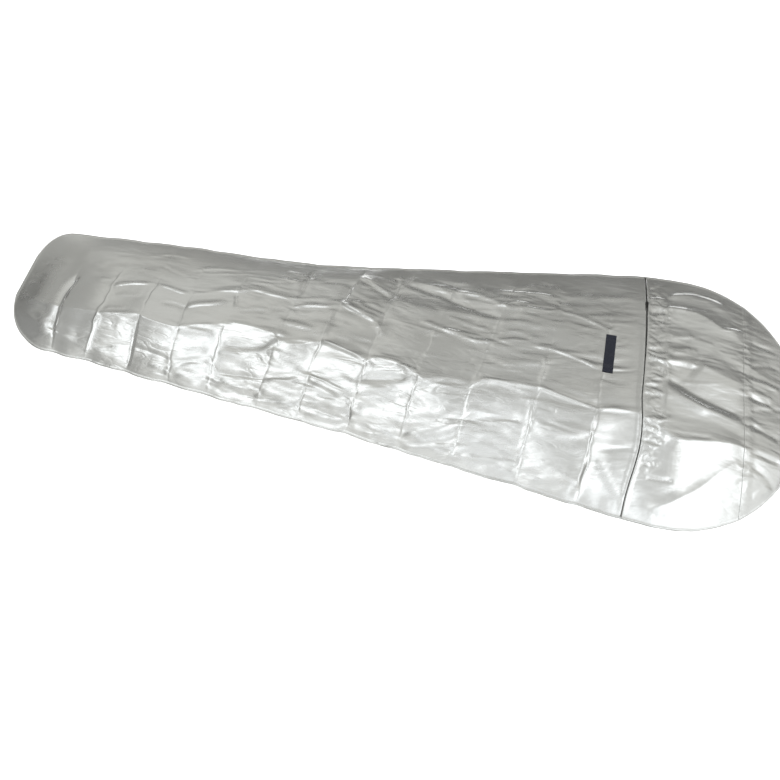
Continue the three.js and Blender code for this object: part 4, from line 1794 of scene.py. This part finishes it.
@dataclass
class Zip:
    """Closed zip across the chest: a woven tape under the films and a coil in the slot between them."""

    outline: Outline
    tape_finish: bpy.types.Material
    coil_finish: bpy.types.Material
    tape_reach: float = 400.0
    tape_half: float = 13.0
    tape_drop: float = 3.4
    tape_from: float = 16.0
    tape_thickness: float = 0.7
    rib_height: float = 0.25
    rib_wave: float = 2.4
    pitch: float = 1.6
    coil_width: float = 4.2
    coil_height: float = 2.0
    coil_drop: float = 1.2
    coil_least: float = 0.1
    coil_inset: float = 3.0
    ring_width: float = 2.6
    wire: float = 0.42

    def film_top(self, y: Array) -> Array:
        """Height of the smooth films at the zip."""
        return self.outline.seam_top + self.outline.roof(self.outline.crossing(ZIP, y), y)

    def tape(self) -> bpy.types.Object:
        """Models the tape as a ribbed sheet.

        Returns:
            The tape.
        """
        y = np.linspace(-self.tape_reach, self.tape_reach, 401)
        y = y[self.film_top(y) > self.tape_from][None, :]
        across = np.linspace(-self.tape_half, self.tape_half, 15)[:, None]
        x = self.outline.crossing(ZIP, y) + across
        z = self.film_top(y) - self.tape_drop + self.rib_height * np.cos(across * self.rib_wave)
        piece = Sheet("zip_tape", x, np.broadcast_to(y, x.shape), z, self.tape_thickness).build()
        return dress(piece, self.tape_finish, Slot.TAPE)

    def turn(self) -> Copies:
        """Models one turn of the coil, a flattened ring with its upper half moved half a pitch on.

        Returns:
            The turn, ready to be copied.
        """
        turn = primitive(
            bpy.ops.mesh.primitive_torus_add,
            major_segments=10,
            minor_segments=4,
            major_radius=MM,
            minor_radius=self.wire * MM,
            rotation=(math.pi / 2, 0, 0),
        )
        turn.scale = (self.coil_width / self.ring_width, self.coil_height / self.ring_width, 1.0)
        settled(turn)
        bpy.ops.object.mode_set(mode="EDIT")
        bpy.ops.mesh.select_mode(type="VERT")
        bpy.ops.mesh.select_all(action="DESELECT")
        bpy.ops.object.mode_set(mode="OBJECT")
        for vertex in turn.data.vertices:
            vertex.select = vertex.co.z > 0
        bpy.ops.object.mode_set(mode="EDIT")
        bpy.ops.transform.translate(value=(0, self.pitch / 2 * MM, 0))
        bpy.ops.object.mode_set(mode="OBJECT")
        return Copies.of(turn)

    def coil(self) -> bpy.types.Object:
        """Lays the coil's turns along the zip.

        Returns:
            The coil.
        """
        outline = self.outline
        start = self.coil_inset - float(outline.film_edge(Side.NEAR, ZIP.near))
        end = float(outline.film_edge(Side.FAR, ZIP.far)) - self.coil_inset
        places = []
        for y in np.arange(start, end, self.pitch):
            x = float(outline.crossing(ZIP, y))
            z = max(float(self.film_top(y)) - self.coil_drop, outline.seam_top + self.coil_least)
            fall = float(self.film_top(y + 1) - self.film_top(y - 1)) / 2
            lean = float(outline.crossing(ZIP, y + 1) - outline.crossing(ZIP, y - 1)) / 2
            normal = Vector((0, -fall, 1)).normalized()
            places.append((Vector((x, y, z)) * MM, Vector((1, -lean, 0)), normal))
        return dress(self.turn().lay("zip_coil", places), self.coil_finish, Slot.TAPE)

    def build(self) -> tuple[bpy.types.Object, bpy.types.Object]:
        """Models and dresses the zip.

        Returns:
            The tape and the coil.
        """
        tape, coil = self.tape(), self.coil()
        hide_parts("zip")
        return tape, coil


@dataclass
class Slider:
    """Slider of the zip with its bridge and flat pull, lying along the zip."""

    outline: Outline
    finish: bpy.types.Material
    y: float = 277.0
    stand: float = 1.4
    length: float = 14.0
    width: float = 9.0
    waist: float = 6.4
    narrows: Ramp = Ramp(0.15, -0.35)
    height: float = 3.2
    body_bevel: float = 0.6
    post: Triple = (2.6, 1.6, 2.4)
    post_y: float = 3.2
    post_bevel: float = 0.4
    bridge: Triple = (2.6, 8.0, 1.2)
    bridge_rise: float = 2.5
    bridge_bevel: float = 0.5
    pull_start: float = 1.0
    pull_length: float = 24.0
    pull_width: float = 6.0
    pull_thickness: float = 1.4
    pull_rise: float = 1.0
    pull_bevel: float = 0.45
    pull_taper: float = 0.45
    pull_end: Ramp = Ramp(0.3, 0.5)
    hole_radius: float = 1.5
    hole_inset: float = 4.0
    hole_depth: float = 6.0
    smooth_angle: float = 40.0

    def block(self, size: Triple, place: Triple, bevel: float) -> bpy.types.Object:
        """A box with rounded edges.

        Args:
            size: Its three sides.
            place: Its middle.
            bevel: Radius of its edges.

        Returns:
            The box.
        """
        box = primitive(bpy.ops.mesh.primitive_cube_add, size=MM, location=Vector(place) * MM)
        box.scale = size
        settled(box)
        bpy.ops.object.mode_set(mode="EDIT")
        bpy.ops.mesh.select_all(action="SELECT")
        bpy.ops.mesh.subdivide(number_cuts=3)
        bpy.ops.object.mode_set(mode="OBJECT")
        applied(box, "BEVEL", width=bevel * MM, segments=2, limit_method="ANGLE")
        return box

    def body(self) -> bpy.types.Object:
        """Models the body, which narrows towards the closed side of the coil.

        Returns:
            The body.
        """
        size = (self.width, self.length, self.height)
        body = self.block(size, (0, 0, self.height / 2), self.body_bevel)
        for vertex in body.data.vertices:
            slim = float(self.narrows.at(vertex.co.y / (self.length * MM)))
            vertex.co.x *= 1 - (1 - self.waist / self.width) * slim
        return body

    def pull(self) -> bpy.types.Object:
        """Models the pull, a flat bar that narrows to its end, with a hole there.

        Returns:
            The pull.
        """
        middle = self.pull_start - self.pull_length / 2
        size = (self.pull_width, self.pull_length, self.pull_thickness)
        pull = self.block(size, (0, middle, self.height + self.pull_rise), self.pull_bevel)
        for vertex in pull.data.vertices:
            end = self.pull_end.at(-(vertex.co.y / MM - middle) / self.pull_length)
            vertex.co.x *= 1 - self.pull_taper * float(end) ** 2
        hole = Vector((0, self.hole_inset - self.pull_length, self.height)) * MM
        sizes = {"vertices": 20, "radius": self.hole_radius * MM, "depth": self.hole_depth * MM}
        punch = primitive(bpy.ops.mesh.primitive_cylinder_add, location=hole, **sizes)
        applied(pull, "BOOLEAN", operation="DIFFERENCE", object=punch, solver="EXACT")
        bpy.data.objects.remove(punch)
        return pull

    def build(self) -> bpy.types.Object:
        """Models the slider, lays it on the zip and dresses it.

        Returns:
            The slider.
        """
        post_z = self.height + self.pull_rise
        posts = [self.block(self.post, (0, y, post_z), self.post_bevel) for y in (-self.post_y, self.post_y)]
        bridge = self.block(self.bridge, (0, 0, self.height + self.bridge_rise), self.bridge_bevel)
        piece = joined(self.body(), *posts, bridge, self.pull())
        piece.name = "slider"
        x = float(self.outline.crossing(ZIP, self.y))
        roof = self.outline.roof
        z = self.outline.seam_top + self.stand + float(roof(x, self.y))
        piece.location = Vector((x, self.y, z)) * MM
        piece.rotation_euler.x = math.atan2(float(roof(x, self.y + 1) - roof(x, self.y - 1)), 2)
        settled(piece)
        bpy.ops.object.shade_smooth_by_angle(angle=math.radians(self.smooth_angle))
        dress(piece, self.finish, Slot.METAL)
        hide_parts("zip_slider")
        return piece


@dataclass
class Label:
    """Blank woven label, sewn on below the zip, with its ends hemmed."""

    finish: bpy.types.Material
    x: float = 579.0
    y: float = 57.0
    length: float = 138.0
    width: float = 28.0
    thickness: float = 0.7
    film_gap: float = 0.25
    hem: float = 7.0
    hem_step: float = 2.0
    hem_rise: float = 0.45
    edge_width: float = 1.5
    edge_drop: float = 0.15
    stitch_inset: float = 1.6

    def build(self, below: Surface) -> bpy.types.Object:
        """Models the label on the film below it and dresses it.

        Args:
            below: What the label lies on.

        Returns:
            The label.
        """
        across = np.linspace(-0.5, 0.5, 15)[:, None] * self.width
        run = np.linspace(-0.5, 0.5, 57)[None, :] * self.length
        x, y = np.broadcast_arrays(self.x + across, self.y + run)
        film = np.array([[below.drop(a, b)[0].z / MM for a, b in zip(p, q)] for p, q in zip(x, y)])
        hem_from = self.length / 2 - self.hem
        ends = ease(hem_from, hem_from + self.hem_step, np.abs(run))
        edge = ease(self.width / 2 - self.edge_width, self.width / 2, np.abs(across))
        z = film + self.thickness + self.film_gap + self.hem_rise * ends - self.edge_drop * edge
        piece = dress(Sheet("label_strip", x, y, z, self.thickness).build(), self.finish, Slot.LABEL)
        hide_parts("label")
        return piece

    def border(self) -> Array:
        """Follows the stitches that hold the label.

        Returns:
            Points of their line in plan.
        """
        a, b = self.width / 2 - self.stitch_inset, self.length / 2 - self.stitch_inset
        corners = [(-a, -b), (a, -b), (a, b), (-a, b), (-a, -b)]
        return np.array([(self.x + p, self.y + q) for p, q in corners])


@dataclass
class Stitching:
    """Rows of stitches: one is modelled and copied along each seam."""

    length: float = 2.8
    pitch: float = 3.9
    radius: float = 0.3
    end_from: float = 0.4
    stand: float = 0.4

    def model(self) -> Copies:
        """Models one stitch, with its ends pulled down into the film.

        Returns:
            The stitch, ready to be copied.
        """
        turned = (0, math.pi / 2, 0)
        stitch = primitive(
            bpy.ops.mesh.primitive_uv_sphere_add, segments=8, ring_count=5, radius=MM, rotation=turned
        )
        stitch.scale = (self.radius, self.radius, self.length / 2)
        settled(stitch)
        for vertex in stitch.data.vertices:
            vertex.select = abs(vertex.co.x) > self.length * self.end_from * MM
        bpy.ops.object.mode_set(mode="EDIT")
        bpy.ops.transform.translate(value=(0, 0, -self.radius * MM))
        bpy.ops.object.mode_set(mode="OBJECT")
        return Copies.of(stitch)

    def along(self, line: Array, below: Surface) -> list[Place]:
        """Places of the stitches along a line in plan.

        Args:
            line: Points of the line.
            below: What it is sewn to.

        Returns:
            Point, direction and normal of each stitch.
        """
        steps = np.hypot(*np.diff(line, axis=0).T)
        past = np.concatenate([[0], np.cumsum(steps)])
        end = past[-1]

        def point(at: float) -> Array:
            """Point of the line at a length along it."""
            return np.array([np.interp(at, past, line[:, k]) for k in (0, 1)])

        places = []
        for at in np.arange(self.pitch / 2, end, self.pitch):
            found = below.drop(*point(at))
            if found is None:
                continue
            spot, normal = found
            run = Vector((*(point(min(at + 1, end)) - point(max(at - 1, 0))), 0))
            run = run - normal * run.dot(normal)
            places.append((spot + normal * self.radius * self.stand * MM, run, normal))
        return places

    def sew(
        self, name: str, lines: Sequence[Array], below: Surface, thread: bpy.types.Material
    ) -> bpy.types.Object:
        """Lays stitches along lines.

        Args:
            name: Name of the piece that holds them.
            lines: The lines in plan.
            below: What they are sewn to.
            thread: Finish of the thread.

        Returns:
            The piece.
        """
        places = [place for line in lines for place in self.along(line, below)]
        return dress(self.model().lay(name, places), thread)


@dataclass
class Seams:
    """Lines in plan along which the films are sewn."""

    outline: Outline
    end_inset: float = 16.0
    zip_offset: float = 3.2
    hood_offset: float = 3.0
    rim_inset: float = 7.5

    def across(self, line: CrossLine, offset: float) -> Array:
        """A row of stitches beside a line across the bag.

        Args:
            line: The line.
            offset: The row's distance from it, towards the head.

        Returns:
            Points of the row.
        """
        x_at = self.outline.beside(line, offset)
        near, far = (self.outline.edge_on(x_at, side) for side in (Side.NEAR, Side.FAR))
        y = np.linspace(near + self.end_inset, far - self.end_inset, 160)
        return np.stack([x_at(y), y], 1)

    def rim(self) -> Array:
        """The closed row of stitches round the side seam.

        Returns:
            Points of the row.
        """
        inset = self.rim_inset
        x = -(self.outline.head - inset) * np.cos(np.linspace(0, np.pi, 400))
        near = np.stack([x, inset - self.outline.half_width(Side.NEAR, x)], 1)
        far = np.stack([x, self.outline.half_width(Side.FAR, x) - inset], 1)[::-1]
        return np.concatenate([near, far, near[:1]])

    def rows(self) -> list[Array]:
        """All rows: two beside the zip, two at the hood's seam, and the rim.

        Returns:
            Points of each row.
        """
        zip_offset = self.outline.zip_half + self.zip_offset
        zip_rows = [self.across(ZIP, side * zip_offset) for side in (-1, 1)]
        hood_rows = [self.across(HOOD_SEAM, side * self.hood_offset) for side in (-1, 1)]
        return [*zip_rows, *hood_rows, self.rim()]


@dataclass(frozen=True)
class Room:
    """What the film mirrors: pale walls and a ceiling with two bright panels. The camera sees a backdrop.

    Profiles run along the bag, from -1 at the toe to 1 at the head, or over it, in degrees from the far wall.
    """

    warm: Colour = (1.0, 0.998, 0.945)
    cool: Colour = (0.915, 0.957, 1.0)
    backdrop: Colour = (0.93, 0.93, 0.925)
    near_wall: Profile = Profile(0.0, ((134, 18, 1.0),))
    toe_lift: Profile = Profile(14.0, ((-0.34, 0.26, -14.0),))
    wall_height: Profile = Profile(0.17, ((5, 55, 0.5),))
    wall_length: Profile = Profile(
        0.84, ((-0.97, 0.13, -0.5), (-0.82, 0.3, 0.66), (-0.36, 0.12, 0.07), (0.86, 0.1, -0.25))
    )
    wall_most: Profile = Profile(0.4, ((-0.52, 0.12, 0.25), (-0.17, 0.08, -0.2), (0.05, 0.08, 0.2)))
    legs_slant: Profile = Profile(0.0, ((80, 14, -0.11),))
    legs_start: Profile = Profile(0.0, ((-0.48, 0.1, 1.0),))
    legs_end: Profile = Profile(1.0, ((-0.2, 0.1, -1.0),))
    legs_over: Profile = Profile(0.0, ((62, 13, 0.92), (98, 18, -0.74)))
    hood_slant: Profile = Profile(0.0, ((82, 26, 0.23),))
    hood_start: Profile = Profile(0.0, ((0.14, 0.12, 1.0),))
    hood_end: Profile = Profile(0.7, ((0.5, 0.25, -0.66),))
    hood_over: Profile = Profile(0.0, ((56, 22, 1.0),))
    ceiling_length: Profile = Profile(0.06, ((-0.5, 0.12, 0.04), (0.04, 0.1, 0.14)))
    ceiling_over: Profile = Profile(0.0, ((46, 30, 1.0),))

    def walls(self, x: Socket, angle: Socket) -> Socket:
        """Glow of the walls, brighter with height and dimmer towards the toe.

        Args:
            x: Direction along the bag.
            angle: Direction over the bag.

        Returns:
            The glow.
        """
        height = self.wall_height.at(angle + self.toe_lift.at(x))
        return (height * self.wall_length.at(x)).at_most(self.wall_most.at(x))

    def panels(self, x: Socket, angle: Socket) -> Socket:
        """Glow of the ceiling and of its panels, one over the legs and one over the hood.

        Args:
            x: Direction along the bag.
            angle: Direction over the bag.

        Returns:
            The glow.
        """
        legs = self.legs_start.at(x + self.legs_slant.at(angle)) * self.legs_end.at(x)
        hood = self.hood_start.at(x + self.hood_slant.at(angle)) * self.hood_end.at(x)
        ceiling = self.ceiling_length.at(x) * self.ceiling_over.at(angle)
        return legs * self.legs_over.at(angle) + hood * self.hood_over.at(angle) + ceiling

    def build(self) -> None:
        """Makes the world that glows so."""
        world = bpy.data.worlds.new("room")
        bpy.context.scene.world = world
        world.use_nodes = True
        nodes = Nodes(world.node_tree)
        x, y, z = nodes.axes(nodes.make("ShaderNodeTexCoord", output="Generated"), "XYZ")
        angle = z.angle_from(y) * math.degrees(1.0)
        # The near wall glows as the far one does.
        angle = angle + self.near_wall.at(angle) * (180.0 - angle * 2.0)
        walls, panels = self.walls(x, angle), self.panels(x, angle)
        glow = walls + panels
        tone = nodes.blend(panels / glow, self.warm, self.cool)
        seen = nodes.make("ShaderNodeLightPath", output="Is Camera Ray")
        sockets = {"Color": nodes.blend(seen, tone, self.backdrop), "Strength": glow * (1.0 - seen) + seen}
        light = nodes.make("ShaderNodeBackground", inputs=sockets)
        nodes.make("ShaderNodeOutputWorld", inputs={"Surface": light})


@dataclass
class Studio:
    """Camera at the photograph's angle, plain pale floor and soft light from overhead."""

    place: Triple = (0.376, -1.791, 2.363)
    turn: Triple = (35.55, 0.0, 12.19)
    lens: float = 49.85
    sensor: float = 36.0
    view_end: float = 100.0
    floor_size: float = 40.0
    floor_drop: float = 0.0005
    box_low: tuple[float, float] = (-1.5, -1.9)
    box_high: tuple[float, float] = (2.0, 0.4)
    box_height: float = 2.6
    box_glow: float = 0.04
    box_tone: Colour = (0.98, 0.99, 1.0)

    def camera(self) -> None:
        """Sets the camera."""
        data = bpy.data.cameras.new("camera")
        data.sensor_width = self.sensor
        data.lens = self.lens
        data.clip_end = self.view_end
        camera = bpy.data.objects.new("camera", data)
        camera.location = self.place
        camera.rotation_euler = [math.radians(angle) for angle in self.turn]
        bpy.context.scene.collection.objects.link(camera)
        bpy.context.scene.camera = camera

    def floor(self) -> None:
        """Lays the floor."""
        place = (0, 0, -self.floor_drop)
        floor = settled(primitive(bpy.ops.mesh.primitive_plane_add, size=self.floor_size, location=place))
        floor.name = "studio_floor"
        floor.data.materials.append(GroundFinish().material())

    def softbox(self) -> None:
        """Hangs the softbox over the bag."""
        size = [high - low for low, high in zip(self.box_low, self.box_high)]
        data = bpy.data.lights.new("softbox", "AREA")
        data.shape = "RECTANGLE"
        data.size, data.size_y = size
        data.energy = self.box_glow * math.pi * size[0] * size[1]
        data.color = self.box_tone
        box = bpy.data.objects.new("softbox", data)
        middle = [(low + high) / 2 for low, high in zip(self.box_low, self.box_high)]
        box.location = (*middle, self.box_height)
        bpy.context.scene.collection.objects.link(box)

    def build(self) -> None:
        """Sets up the studio."""
        self.camera()
        self.floor()
        self.softbox()
        Room().build()
        bpy.context.scene.view_settings.view_transform = "Standard"


def main() -> None:
    """Builds the bag's pieces in order and sets up the studio."""
    logging.basicConfig(level=logging.INFO, format="%(message)s")
    outline = Outline()
    silver = FilmFinish().material()
    floor = FloorFilm(outline, silver).build()
    body = BodyFilm(outline, silver).build()
    hood = HoodFilm(outline, silver).build()
    hood_end = HoodEndFilm(outline, silver).build()
    tape, coil = Zip(outline, TAPE_WEAVE.material(), COIL_NYLON.material()).build()
    Slider(outline, SLIDER_ENAMEL.material()).build()
    label_piece = Label(LABEL_WEAVE.material())
    label = label_piece.build(Surface(body))
    films = Surface(body, hood, hood_end)
    film_thread = Stitching().sew("film_stitches", Seams(outline).rows(), films, FILM_THREAD.material())
    fine_stitching = Stitching(length=2.0, pitch=2.7, radius=0.22)
    label_thread = fine_stitching.sew(
        "label_stitches", [label_piece.border()], Surface(label), LABEL_THREAD.material()
    )
    label_piece.width * MM
    Studio().build()


if __name__ == "__main__":
    main()
